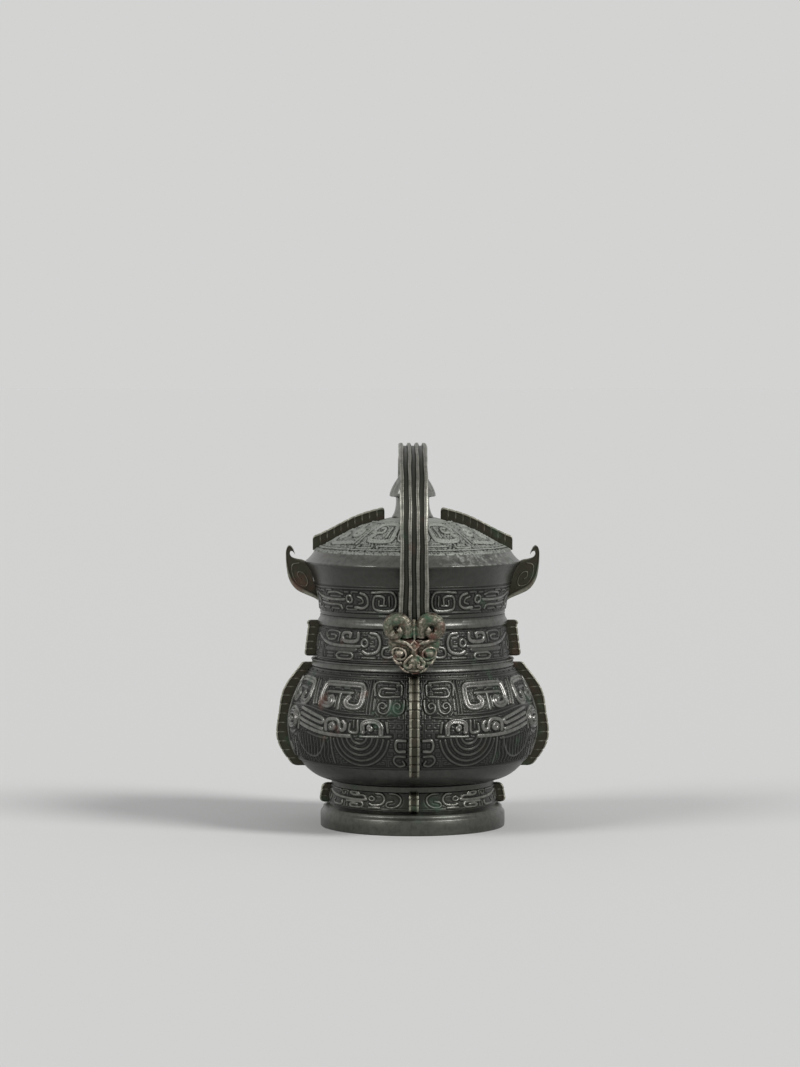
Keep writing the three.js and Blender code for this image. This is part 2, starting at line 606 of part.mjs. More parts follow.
// Crest flange that lies along the lid's dome
function domeFlange(side) {
  const { turn, stretch } = SIDES[side];
  const outerEnd = DOME_HALF_WIDTH + LID_FLANGE_OVERHANG;
  const onDome = lidTopOuter.slice(DOME_EDGE_INDEX).filter(([r]) => r > LID_FLANGE_INNER + SEAT_GAP);
  const line = onDome.reverse();
  const innerZ = line[0][1] + (line[0][0] - LID_FLANGE_INNER) * 0.2;
  const seat = [[LID_FLANGE_INNER, innerZ], ...line, [outerEnd, DOME_Z]];
  const under = seat.map(([r, z]) => [r * stretch, z + SEAT_GAP * 1.5]);
  const top = [...seat].reverse().map(([r, z]) => [r * stretch, z + LID_FLANGE_HEIGHT]);
  const cutters = notchBoxes(top, LID_NOTCHES, FLANGE_THICKNESS);
  return plate([...under, ...top], FLANGE_THICKNESS, turn, cutters);
}

// Hooked horn rising from the lid's skirt past the rim
function lidHorn(side) {
  const rootZ = SKIRT_Z + HORN_ROOT_START;
  const skirt = profileBetween(skirtOuter, rootZ, RIM_Z);
  const inner = skirt.map(([r, z]) => [r + SEAT_GAP * 1.5, z]);
  const tipZ = RIM_Z + HORN_TIP_RISE;
  const tipR = RIM_HALF_WIDTH + HORN_REACH;
  const rise = tipZ - rootZ;
  const rootR = skirt[0][0];
  const reach = tipR - rootR;
  const shape = [
    [0.125, 0.054], [0.394, 0.122], [0.65, 0.194], [0.817, 0.302], [0.924, 0.438],
    [0.983, 0.632], [1, 0.818], [0.993, 0.921], [0.952, 0.988], [0.889, 1],
    [0.827, 0.969], [0.772, 0.911], [0.737, 0.851], [0.848, 0.907], [0.882, 0.866],
    [0.882, 0.808], [0.827, 0.773], [0.661, 0.764], [0.453, 0.756],
  ];
  const outer = shape.map(([out, up]) => [rootR + reach * out, rootZ + rise * up]);
  return plate([...outer, ...inner.reverse()], HORN_THICKNESS, SIDES[side].turn, []);
}

// Round bar along a path of [x, y, z] corners
function bar(corners, radius, sides, steps) {
  const path = new THREE.CatmullRomCurve3(corners.map((c) => new THREE.Vector3(...c)), false, 'centripetal');
  const ring = new THREE.Shape();
  for (let i = 0; i < sides; i += 1) {
    const angle = (2 * Math.PI * i) / sides;
    const point = [radius * Math.cos(angle), radius * Math.sin(angle)];
    if (i === 0) ring.moveTo(...point);
    else ring.lineTo(...point);
  }
  ring.closePath();
  return new THREE.ExtrudeGeometry(ring, { steps, bevelEnabled: false, extrudePath: path });
}

// Distances out from the axis for the linked bail ends
const NECK_OUT = halfWidthAt(vesselOuter, PIVOT_Z) * DEPTH_PER_WIDTH;
const LOOP_OUT = NECK_OUT + NECK_PLAY + LOOP_BAR;
const BOW_OUT = LOOP_OUT + LOOP_BAR + LINK_PLAY + LUG_BAR;
const HEAD_BACK_OUT = BOW_OUT + LUG_BAR + HEAD_PLAY;
const STRAP_OUT = RIM_HALF_WIDTH * DEPTH_PER_WIDTH + BAIL_SPAN_PLAY + STRAP_THICKNESS / 2;
const STRAP_END_OUT = HEAD_BACK_OUT + HEAD_DEPTH / 2;
const STRAP_END_Z = PIVOT_Z + HEAD_TOP - SOCKET_DEPTH;

// Staple lug: a half ring that stands upright on the neck
function lug() {
  const top = PIVOT_Z + LUG_HALF_HEIGHT;
  const bottom = PIVOT_Z - LUG_HALF_HEIGHT;
  const bend = LUG_BAR * 0.8;
  const footTop = halfWidthAt(vesselOuter, top - LUG_BAR) * DEPTH_PER_WIDTH + SEAT_GAP;
  const footBottom = halfWidthAt(vesselOuter, bottom - LUG_BAR) * DEPTH_PER_WIDTH + SEAT_GAP;
  const corners = [
    [0, -footTop, top],
    [0, -BOW_OUT + 2 * bend, top],
    [0, -BOW_OUT, top - 2 * bend],
    [0, -BOW_OUT, PIVOT_Z],
    [0, -BOW_OUT, bottom + 2 * bend],
    [0, -BOW_OUT + 2 * bend, bottom],
    [0, -footBottom, bottom],
  ];
  return bar(corners, LUG_BAR, 8, 16);
}

// Loop on the back of a head: it passes behind the lug's bow
function loop() {
  const bend = LOOP_BAR * 1.2;
  const end = HEAD_BACK_OUT - SEAT_GAP;
  const corners = [
    [-LOOP_HALF_SPAN, -end, PIVOT_Z],
    [-LOOP_HALF_SPAN, -LOOP_OUT - bend, PIVOT_Z],
    [-LOOP_HALF_SPAN + bend, -LOOP_OUT, PIVOT_Z],
    [0, -LOOP_OUT, PIVOT_Z],
    [LOOP_HALF_SPAN - bend, -LOOP_OUT, PIVOT_Z],
    [LOOP_HALF_SPAN, -LOOP_OUT - bend, PIVOT_Z],
    [LOOP_HALF_SPAN, -end, PIVOT_Z],
  ];
  return bar(corners, LOOP_BAR, 8, 14);
}

// Ribbed strap bent into the bail's arch.
// With some growth it is the plain socket that the heads leave for it.
function strap(growth) {
  const arch = [
    [STRAP_END_OUT, STRAP_END_Z - growth],
    [STRAP_OUT - SHANK_LEAN, STRAP_END_Z + SHANK_RISE],
    [STRAP_OUT + ARCH_BULGE, DOME_Z - ARCH_BULGE_DROP],
    [STRAP_OUT, DOME_Z + ARCH_SPRING_RISE],
    ...ARCH_SHAPE.map(([out, up]) => [STRAP_OUT * out, DOME_Z + (CROWN_Z - DOME_Z) * up]),
  ];
  const front = arch.map(([out, z]) => new THREE.Vector3(0, -out, z));
  const back = arch.map(([out, z]) => new THREE.Vector3(0, out, z)).reverse();
  const crown = new THREE.Vector3(0, 0, CROWN_Z);
  const path = new THREE.CatmullRomCurve3([...front, crown, ...back], false, 'centripetal');
  const half = STRAP_WIDTH / 2 + growth;
  const top = STRAP_THICKNESS / 2 + growth;
  const groove = growth > 0 ? 0 : STRAP_GROOVE;
  const section = new THREE.Shape();
  section.moveTo(-half, -top);
  section.lineTo(half, -top);
  for (const [out, down] of [...STRAP_FACE].reverse()) section.lineTo(half * out, top - groove * down);
  for (const [out, down] of STRAP_FACE) section.lineTo(-half * out, top - groove * down);
  section.closePath();
  const geometry = new THREE.ExtrudeGeometry(section, { depth: 1, steps: STRAP_STEPS, bevelEnabled: false });
  const position = geometry.attributes.position;
  for (let i = 0; i < position.count; i += 1) {
    const share = THREE.MathUtils.clamp(position.getZ(i), 0, 1);
    const at = path.getPointAt(share);
    const along = path.getTangentAt(share);
    const out = position.getY(i);
    const fall = THREE.MathUtils.clamp((DOME_Z - at.z) / (DOME_Z - STRAP_END_Z), 0, 1);
    const across = position.getX(i) * (1 + (STRAP_FLARE - 1) * fall * fall);
    position.setXYZ(i, -across, at.y - along.z * out, at.z + along.y * out);
  }
  return geometry;
}

// Horned animal head, cast round the end of the strap
function head() {
  const face = new THREE.Shape([
    [-CHIN_HALF_WIDTH, -HEAD_CHIN],
    [CHIN_HALF_WIDTH, -HEAD_CHIN],
    [JAW_HALF_WIDTH, -HEAD_CHIN * 0.7],
    [HEAD_HALF_WIDTH * 0.88, -HEAD_CHIN * 0.4],
    [HEAD_HALF_WIDTH, 0],
    [HEAD_HALF_WIDTH * 0.93, HEAD_TOP * 0.5],
    [HEAD_HALF_WIDTH * 0.76, HEAD_TOP],
    [-HEAD_HALF_WIDTH * 0.76, HEAD_TOP],
    [-HEAD_HALF_WIDTH * 0.93, HEAD_TOP * 0.5],
    [-HEAD_HALF_WIDTH, 0],
    [-HEAD_HALF_WIDTH * 0.88, -HEAD_CHIN * 0.4],
    [-JAW_HALF_WIDTH, -HEAD_CHIN * 0.7],
  ].map(([x, z]) => new THREE.Vector2(x, z)));
  const block = new THREE.ExtrudeGeometry(face, { depth: HEAD_DEPTH, bevelEnabled: false });
  block.rotateX(Math.PI / 2);
  block.translate(0, -HEAD_BACK_OUT, PIVOT_Z);
  let solid = toSolid(block);
  const front = -HEAD_BACK_OUT - HEAD_DEPTH;
  const muzzle = new THREE.SphereGeometry(1, 12, 8);
  muzzle.scale(MUZZLE_HALF_WIDTH, MUZZLE_REACH, MUZZLE_HALF_HEIGHT);
  muzzle.translate(0, front, PIVOT_Z - HEAD_CHIN + MUZZLE_HALF_WIDTH);
  solid = solid.add(toSolid(muzzle));
  const bridge = new THREE.SphereGeometry(1, 8, 6);
  bridge.scale(BRIDGE_HALF_WIDTH, MUZZLE_REACH * 0.62, BRIDGE_HALF_HEIGHT);
  bridge.translate(0, front, PIVOT_Z - BRIDGE_DROP);
  solid = solid.add(toSolid(bridge));
  for (const side of [-1, 1]) {
    const eye = new THREE.SphereGeometry(EYE_RADIUS, 8, 6);
    eye.translate(side * EYE_OUT, front, PIVOT_Z - EYE_DROP);
    solid = solid.add(toSolid(eye));
    const middle = HEAD_HALF_WIDTH + HEAD_HORN_OVERHANG - HEAD_HORN_RING - HEAD_HORN_TUBE;
    const hornZ = PIVOT_Z + HEAD_HORN_RISE;
    const corners = [];
    for (let i = 0; i <= HEAD_HORN_STEPS; i += 1) {
      const wound = (HEAD_HORN_TURN * i) / HEAD_HORN_STEPS;
      const angle = THREE.MathUtils.degToRad(HEAD_HORN_START - wound);
      const x = side * (middle + HEAD_HORN_RING * Math.cos(angle));
      corners.push([x, front - HEAD_HORN_TUBE / 8, hornZ + HEAD_HORN_RING * 1.15 * Math.sin(angle)]);
    }
    solid = solid.add(toSolid(bar(corners, HEAD_HORN_TUBE, 6, 14)));
  }
  return toGeometry(solid.subtract(toSolid(strap(SEAT_GAP))));
}

// Materials
const bronze = { color: 0x46473d, metalness: 0.75, roughness: 0.5 };
const part = new THREE.Group();
part.name = 'lidded_wine_vessel';

function addNode(name, geometry, turn = 0) {
  const welded = weld(geometry);
  if (turn) welded.rotateZ(turn);
  const clean = toGeometry(toSolid(welded));
  const mesh = new THREE.Mesh(clean, new THREE.MeshStandardMaterial(bronze));
  mesh.name = name;
  part.add(mesh);
}

const frontFlangeEnd = PIVOT_Z - Math.hypot(HEAD_CHIN, CHIN_HALF_WIDTH) - CHIN_SWING_PLAY;
const sideFlangeEnd = NECK_Z + NECK_FLANGE_MARGIN - BELLY_FLANGE_TOP_GAP;
const bellyFlangeStart = WAIST_Z + BELLY_FLANGE_START;

addNode('vessel_wall', vesselWall());
addNode('foot_ring', footRing());
addNode('lid_shell', lidShell());
addNode('lid_knob', lidKnob());
for (const side of ['left', 'right', 'front', 'back']) {
  const end = side === 'left' || side === 'right' ? sideFlangeEnd : frontFlangeEnd;
  const belly = [BELLY_FLANGE_REACH, BELLY_FLANGE_SWELL, BELLY_NOTCHES];
  addNode(`belly_flange_${side}`, wallFlange(vesselOuter, bellyFlangeStart, end, ...belly, side));
  const footTop = FOOT_HEIGHT - FOOT_FLANGE_TOP_MARGIN;
  const footLow = FOOT_BAND_BOTTOM + SEAT_GAP;
  const foot = [FOOT_FLANGE_REACH, 0, FOOT_NOTCHES];
  addNode(`foot_flange_${side}`, wallFlange(footOuter, footLow, footTop, ...foot, side));
  addNode(`lid_flange_${side}`, domeFlange(side));
}
for (const side of ['left', 'right']) {
  const low = NECK_Z + NECK_FLANGE_MARGIN;
  const high = COLLAR_Z + NECK_FLANGE_RISE;
  const neck = [NECK_FLANGE_REACH, 0, NECK_NOTCHES];
  addNode(`neck_flange_${side}`, wallFlange(vesselOuter, low, high, ...neck, side));
  addNode(`lid_horn_${side}`, lidHorn(side));
}
addNode('bail_strap', strap(0));
for (const [side, turn] of [['front', 0], ['back', Math.PI]]) {
  addNode(`lug_${side}`, lug(), turn);
  addNode(`bail_loop_${side}`, loop(), turn);
  addNode(`bail_head_${side}`, head(), turn);
}

export default part;
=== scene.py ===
import math

import bpy
import numpy as np
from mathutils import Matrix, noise


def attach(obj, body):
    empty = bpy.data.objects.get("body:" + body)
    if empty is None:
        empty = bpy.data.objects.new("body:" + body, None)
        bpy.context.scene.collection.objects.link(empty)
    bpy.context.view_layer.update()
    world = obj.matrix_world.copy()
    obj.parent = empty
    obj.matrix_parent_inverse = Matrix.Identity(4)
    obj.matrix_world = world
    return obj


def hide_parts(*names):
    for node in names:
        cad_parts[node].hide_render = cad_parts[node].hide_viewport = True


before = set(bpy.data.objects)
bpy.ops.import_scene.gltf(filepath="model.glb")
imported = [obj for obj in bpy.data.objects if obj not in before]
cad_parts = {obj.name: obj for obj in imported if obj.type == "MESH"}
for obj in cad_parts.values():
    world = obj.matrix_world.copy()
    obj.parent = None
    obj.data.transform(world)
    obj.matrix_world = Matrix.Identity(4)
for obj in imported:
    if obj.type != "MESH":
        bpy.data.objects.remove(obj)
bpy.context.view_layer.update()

# Foot ring
# An oval bronze ring that the vessel stands on, open below. It was cast in one with the body in a
# clay piece mould: a plain rubbed base under a narrow band of raised dragons.
FOOT_PROFILE = [
    (76.5, 7.0), (76.5, 0.6), (77.1, 0.0), (79.9, 0.0), (80.5, 0.6), (80.6, 6.5), (80.5, 12.4),
    (80.0, 13.4), (78.6, 14.9), (78.1, 15.9), (78.0, 17.3), (77.0, 18.2), (74.6, 19.6), (73.6, 20.4),
    (72.7, 25.0), (71.6, 30.5), (70.9, 36.0), (71.0, 38.5), (71.2, 40.6), (70.8, 41.2), (67.0, 41.2),
    (67.0, 38.0), (68.0, 30.5), (70.0, 20.0), (75.0, 11.0),
]
FOOT_BAND = [(73.9, 20.6), (72.9, 25.0), (71.9, 30.5), (71.2, 36.6)]
FOOT_BASE_TOP, FOOT_BASE_RUB, FOOT_WALL_RUB = 20, 0.62, 0.56
MILLIMETRE = 0.001

# The vessel and its lid are oval in plan, deeper than wide. The oval's quarters run from the front round to
# the right, and each is measured by its arc length, from the front or the back to a side.
OVAL_DEPTH = 1.18
ALL_ROUND = (0, 1, 2, 3)
QUARTER_PARTS = 4000
quarter_angles = np.linspace(0.0, np.pi / 2, QUARTER_PARTS + 1)
quarter_speed = np.hypot(np.cos(quarter_angles), OVAL_DEPTH * np.sin(quarter_angles))
quarter_steps = (quarter_speed[1:] + quarter_speed[:-1]) / 2 * (quarter_angles[1] - quarter_angles[0])
quarter_way = np.concatenate([[0.0], np.cumsum(quarter_steps)])
QUARTER_PER_HALF_WIDTH = quarter_way[-1]


def oval_angle(share):
    # share counts quarters of the oval from the front towards the right
    quarter = np.floor(share)
    part = share - quarter
    odd = quarter % 2 == 1
    way = np.where(odd, 1 - part, part) * QUARTER_PER_HALF_WIDTH
    angle = np.interp(way, quarter_way, quarter_angles)
    return np.where(odd, (quarter + 1) * np.pi / 2 - angle, quarter * np.pi / 2 + angle)


def oval_points(half_width, height, share, lift):
    # points on an oval turned shape, raised by lift along its outward normal; sizes in millimetres
    angle = oval_angle(share)
    slope_out = np.gradient(height)
    slope_up = -np.gradient(half_width)
    length = np.hypot(slope_out, slope_up)
    out = (slope_out / length)[:, None]
    up = (slope_up / length)[:, None]
    plan_x = OVAL_DEPTH * np.sin(angle)
    plan_y = -np.cos(angle)
    plan_length = np.hypot(plan_x, plan_y)
    x = half_width[:, None] * np.sin(angle) + lift * out * plan_x / plan_length
    y = -OVAL_DEPTH * half_width[:, None] * np.cos(angle) + lift * out * plan_y / plan_length
    z = height[:, None] + lift * up + 0 * x
    return np.stack([x, y, z], axis=-1) * MILLIMETRE


def skin(name, points, relief=0.0, ring=False, crease=None):
    # closed mesh over a grid of points whose rows are loops: capped at the first and last row, or with the
    # last row joined to the first. The share of relief is kept on each point for the patina, and edges
    # bent by more than crease degrees stay sharp.
    rows, columns = points.shape[:2]
    index = np.arange(rows * columns).reshape(rows, columns)
    index = np.hstack([index, index[:, :1]])
    if ring:
        index = np.vstack([index, index[:1]])
    quads = np.stack([index[:-1, :-1], index[:-1, 1:], index[1:, 1:], index[1:, :-1]], axis=-1)
    quads = quads.reshape(-1, 4)
    ends = [] if ring else [np.arange(columns)[::-1], np.arange(columns) + (rows - 1) * columns]
    # a skin that would face inwards is turned inside out
    centred = points.reshape(-1, 3) - points.reshape(-1, 3).mean(axis=0)
    first, second, third, fourth = (centred[quads[:, corner]] for corner in range(4))
    facing = np.cross(third - first, fourth - second) * (first + second + third + fourth)
    if facing.sum() < 0:
        quads = quads[:, ::-1]
        ends = [end[::-1] for end in ends]
    corners = np.concatenate([quads.ravel()] + ends)
    starts = np.concatenate([np.arange(0, quads.size, 4), quads.size + columns * np.arange(len(ends))])
    mesh = bpy.data.meshes.new(name)
    mesh.vertices.add(rows * columns)
    mesh.vertices.foreach_set("co", points.astype(np.float32).ravel())
    mesh.loops.add(len(corners))
    mesh.loops.foreach_set("vertex_index", corners.astype(np.int32))
    mesh.polygons.add(len(starts))
    mesh.polygons.foreach_set("loop_start", starts.astype(np.int32))
    mesh.polygons.foreach_set("use_smooth", np.ones(len(starts), dtype=bool))
    mesh.update(calc_edges=True)
    mesh.validate()
    values = mesh.attributes.new("relief", "FLOAT", "POINT")
    values.data.foreach_set("value", (np.zeros((rows, columns)) + relief).astype(np.float32).ravel())
    if crease is not None:
        mesh.set_sharp_from_angle(angle=math.radians(crease))
    piece = bpy.data.objects.new(name, mesh)
    bpy.context.scene.collection.objects.link(piece)
    return piece


TURNED_COLUMNS, TURNED_CREASE = 256, 38


def turned_shell(name, profile, rub, ring=False):
    # a wall turned on the oval; rub says how far each point of its profile is rubbed
    profile = np.array(profile)
    share = np.arange(TURNED_COLUMNS) * len(ALL_ROUND) / TURNED_COLUMNS
    lift = np.zeros((len(profile), TURNED_COLUMNS))
    points = oval_points(profile[:, 0], profile[:, 1], share, lift)
    return skin(name, points, np.array(rub)[:, None], ring, TURNED_CREASE)


def even_profile(profile, spacing):
    # the same profile with points evenly spaced along it, and the way along it from its start
    profile = np.array(profile)
    way = np.concatenate([[0.0], np.cumsum(np.hypot(*np.diff(profile, axis=0).T))])
    even = np.linspace(0.0, way[-1], int(round(way[-1] / spacing)) + 1)
    return np.interp(even, way, profile[:, 0]), np.interp(even, way, profile[:, 1]), even


def smooth_line(corners, steps=6):
    # curve through the corners of a stroke, with some steps from corner to corner
    corners = np.array(corners, dtype=float)
    ends = np.vstack([2 * corners[0] - corners[1], corners, 2 * corners[-1] - corners[-2]])
    before, start, end, after = ends[:-3, None], ends[1:-2, None], ends[2:-1, None], ends[3:, None]
    part = (np.arange(steps) / steps)[None, :, None]
    bend = (2 * before - 5 * start + 4 * end - after) * part**2
    bend = bend + (3 * start - before - 3 * end + after) * part**3
    curve = start + ((end - before) * part + bend) / 2
    return np.vstack([curve.reshape(-1, corners.shape[1]), corners[-1:]])


TINY = 1e-9


def way_from(line, across, up):
    # distance from each point of the flat band to a line drawn on it
    nearest = np.full(across.shape, np.inf)
    for (start_across, start_up), (end_across, end_up) in zip(line[:-1], line[1:]):
        run, rise = end_across - start_across, end_up - start_up
        along = (across - start_across) * run + (up - start_up) * rise
        along = np.clip(along / max(run * run + rise * rise, TINY), 0.0, 1.0)
        away_across = across - start_across - along * run
        away_up = up - start_up - along * rise
        nearest = np.minimum(nearest, away_across**2 + away_up**2)
    return np.sqrt(nearest)


def soft_step(value):
    # eases from 0 to 1
    value = np.clip(value, 0.0, 1.0)
    return value * value * (3 - 2 * value)


# one squared spiral of the ground, in a square of side 1, and the width of its line in millimetres
SPIRAL = [
    (0.1, 0.1), (0.9, 0.1), (0.9, 0.9), (0.1, 0.9), (0.1, 0.38), (0.62, 0.38), (0.62, 0.64), (0.36, 0.64),
]
SPIRAL_HALF, SPIRAL_SIDE = 1.05, 0.7


def spiral_ground(across, up, pitch):
    # fine squared spirals that fill the ground of every band, every other one turned over
    column = np.floor(across / pitch)
    row = np.floor(up / pitch)
    part = across / pitch - column
    rise = up / pitch - row
    part = np.where((column + row) % 2 == 1, 1 - part, part)
    line_way = way_from(SPIRAL, part, rise) * pitch
    return soft_step((SPIRAL_HALF - line_way) / SPIRAL_SIDE)


# a stroke's reach and rounded side, the groove along wide ones, and the ground's gap beside a stroke; all in
# millimetres, apart from the groove's depth, which is a share of the stroke's height
STROKE_REACH, STROKE_SIDE = 3, 0.9
WIDE_STROKE, STROKE_GROOVE_DEPTH, STROKE_GROOVE_HALF, STROKE_GROOVE_SIDE = 3.4, 0.45, 0.85, 0.6
GROUND_GAP, GROUND_SIDE = 0.8, 0.5


def cast_relief(across, up, strokes, ground, pitch):
    # height of the cast ornament over one flat quarter of a band, and how far its strokes are; a stroke is
    # height, width, corners
    wide, tall = np.meshgrid(across, up)
    lift = np.zeros(wide.shape)
    clear = np.full(wide.shape, np.inf)
    for height, width, corners in strokes:
        line = smooth_line(corners)
        reach = width / 2 + STROKE_REACH
        low, high = line.min(axis=0) - reach, line.max(axis=0) + reach
        columns = slice(*np.searchsorted(across, [low[0], high[0]]))
        rows = slice(*np.searchsorted(up, [low[1], high[1]]))
        away = way_from(line, wide[rows, columns], tall[rows, columns])
        raised = height * soft_step((width / 2 - away) / STROKE_SIDE + 0.5)
        if width > WIDE_STROKE:
            groove = soft_step((STROKE_GROOVE_HALF - away) / STROKE_GROOVE_SIDE)
            raised = raised - STROKE_GROOVE_DEPTH * height * groove
        lift[rows, columns] = np.maximum(lift[rows, columns], raised)
        clear[rows, columns] = np.minimum(clear[rows, columns], away - width / 2)
    field = spiral_ground(wide, tall, pitch) * soft_step((clear - GROUND_GAP) / GROUND_SIDE)
    return np.maximum(lift, ground * field), clear


# a band's grid and thickness, how its borders fade and tuck under the wall's skin, the line of painted shade
# round its strokes, and its grit; all in millimetres, apart from the counts and the grit's share of the tone
SPACING = 0.64
BAND_TUCK, BAND_DEPTH, BAND_BACK_ROWS = 0.7, 1.6, 6
BORDER_FADE, TUCK_FADE, SIDE_FADE, GRIT_FADE = 1.2, 0.9, 1.0, 2.0
SHADE_LINE, SHADE_LINE_SIDE = 0.4, 0.7
GRIT_SEED, GRIT_TONE = 11, 0.8


def relief_band(name, profile, strokes, ground, pitch, top, quarters, plain, foot=0.0, grain=0.0, shade_line=SHADE_LINE):
    # a band of ornament over some quarters of the oval. ground and pitch are the height and size of its
    # spirals, top the height that counts as fully rubbed, plain how rubbed the ground counts, foot the
    # drawing's height at the lower border, grain the height of a gritty crust, and the last argument the
    # width of the dark line of earth and painted shade round each stroke.
    half_width, height, up = even_profile(profile, SPACING)
    up = up + foot
    quarter = half_width.max() * QUARTER_PER_HALF_WIDTH
    count = int(round(quarter / SPACING))
    across = (np.arange(count) + 0.5) * quarter / count
    raised, clear = cast_relief(across, up, strokes, ground, pitch)
    # beside each stroke the ground's tone falls to nothing: earth and painted shade where the stroke's foot
    # meets the ground
    rubbed_and_shaded = np.maximum(raised / top, plain * soft_step((clear - shade_line) / SHADE_LINE_SIDE))
    edge = np.minimum(up - up[0], up[-1] - up)
    tuck = BAND_TUCK * (1 - soft_step(edge / TUCK_FADE))
    raised = raised * soft_step(edge / BORDER_FADE)[:, None] - tuck[:, None]
    lift = np.hstack([raised if number % 2 == 0 else raised[:, ::-1] for number in quarters])
    tone = np.hstack([rubbed_and_shaded if number % 2 == 0 else rubbed_and_shaded[:, ::-1] for number in quarters])
    share = np.concatenate([number + (np.arange(count) + 0.5) / count for number in quarters])
    closed = len(quarters) == len(ALL_ROUND)
    if not closed:
        columns = np.arange(lift.shape[1])
        from_side = np.minimum(columns, columns[::-1]) * SPACING
        lift = lift - BAND_TUCK * (1 - soft_step(from_side / SIDE_FADE))[None, :]
    grit = np.random.default_rng(GRIT_SEED).normal(size=lift.shape)
    grit = grit + np.roll(grit, 1, axis=0) + np.roll(grit, 1, axis=1) + np.roll(grit, (1, 1), axis=(0, 1))
    # four draws added up, brought back to the spread of one
    grit = grit / 2
    lift = lift + grain * grit * soft_step(edge / GRIT_FADE)[:, None]
    tone = np.clip(tone + GRIT_TONE * grain * grit, 0, 1)
    front = oval_points(half_width, height, share, lift)
    back_rows = np.linspace(len(up) - 1, 0, BAND_BACK_ROWS).astype(int)
    back = oval_points(half_width, height, share, lift * 0 - BAND_DEPTH)[back_rows]
    points = np.concatenate([front, back]).transpose(1, 0, 2)
    return skin(name, points, np.concatenate([tone, tone[back_rows]]).T, closed)


def linear(colour):
    # sRGB hex to linear light
    parts = [int(colour[start:start + 2], 16) / 255 for start in (0, 2, 4)]
    return [part / 12.92 if part <= 0.04045 else ((part + 0.055) / 1.055) ** 2.4 for part in parts] + [1.0]


def add_node(tree, kind, settings=None, links=None):
    # one node, with values for its inputs or for the node itself, and links into its inputs
    node = tree.nodes.new(kind)
    for key, value in (settings or {}).items():
        if isinstance(key, int) or key in node.inputs:
            node.inputs[key].default_value = value
        else:
            setattr(node, key, value)
    for key, source in (links or {}).items():
        tree.links.new(source, node.inputs[key])
    return node


# Corrosion by its real sizes in metres: patches of green 30 mm wide, red ones a little finer and drawn from a
# slice of their own, mottling 5 mm wide, and lumps 0.6 mm high. The casting's grit is finer in life and is
# drawn 1.2 mm wide, so that it shows.
BLOOM_SIZE, RUST_FINER, RUST_SLICE = 0.030, 1.36, 5.2
MOTTLE_SIZE, GRIT_SIZE, LUMP_HEIGHT = 0.005, 0.0012, 0.0006
# the near-black colour stands for earth in the hollows together with painted shade there
EARTH_AND_SHADE, MALACHITE, CUPRITE, DRY_CRUST = "14150f", "34563f", "6b4d44", "9a9d96"
# where each of them starts in its pattern, how softly, how much its share brings in, and how well it covers
GREEN_START, GREEN_FADE, RED_START, RED_FADE, BLOOM_GAIN, BLOOM_COVER = 0.62, 0.24, 0.66, 0.2, 0.2, 0.7
CRUST_START, CRUST_FADE, CRUST_GAIN, CRUST_COVER = 0.78, 0.3, 0.45, 0.8
# up to where earth and painted shade lie in the hollows, where rubbing starts and is full, and how patchy it
# is
HOLLOW_END, RUB_START, RUB_FULL = 0.45, 0.4, 0.95
PATCH_START, PATCH_END, PATCH_LEAST = 0.3, 0.62, 0.45
# roughness of the skin, of rubbed places and of dry ones, what shine takes off, how metallic bare and dry
# places are, and how strongly the lumps show on bare and on crusted places
SKIN_ROUGH, RUBBED_ROUGH, DRY_ROUGH, SHINE_GAIN = 0.62, 0.5, 0.85, 0.2
BARE_METAL, DRY_METAL = 0.92, 0.15
BARE_LUMPS, CRUST_LUMPS_GAIN, CRUST_LUMPS = 0.18, 0.5, 0.8


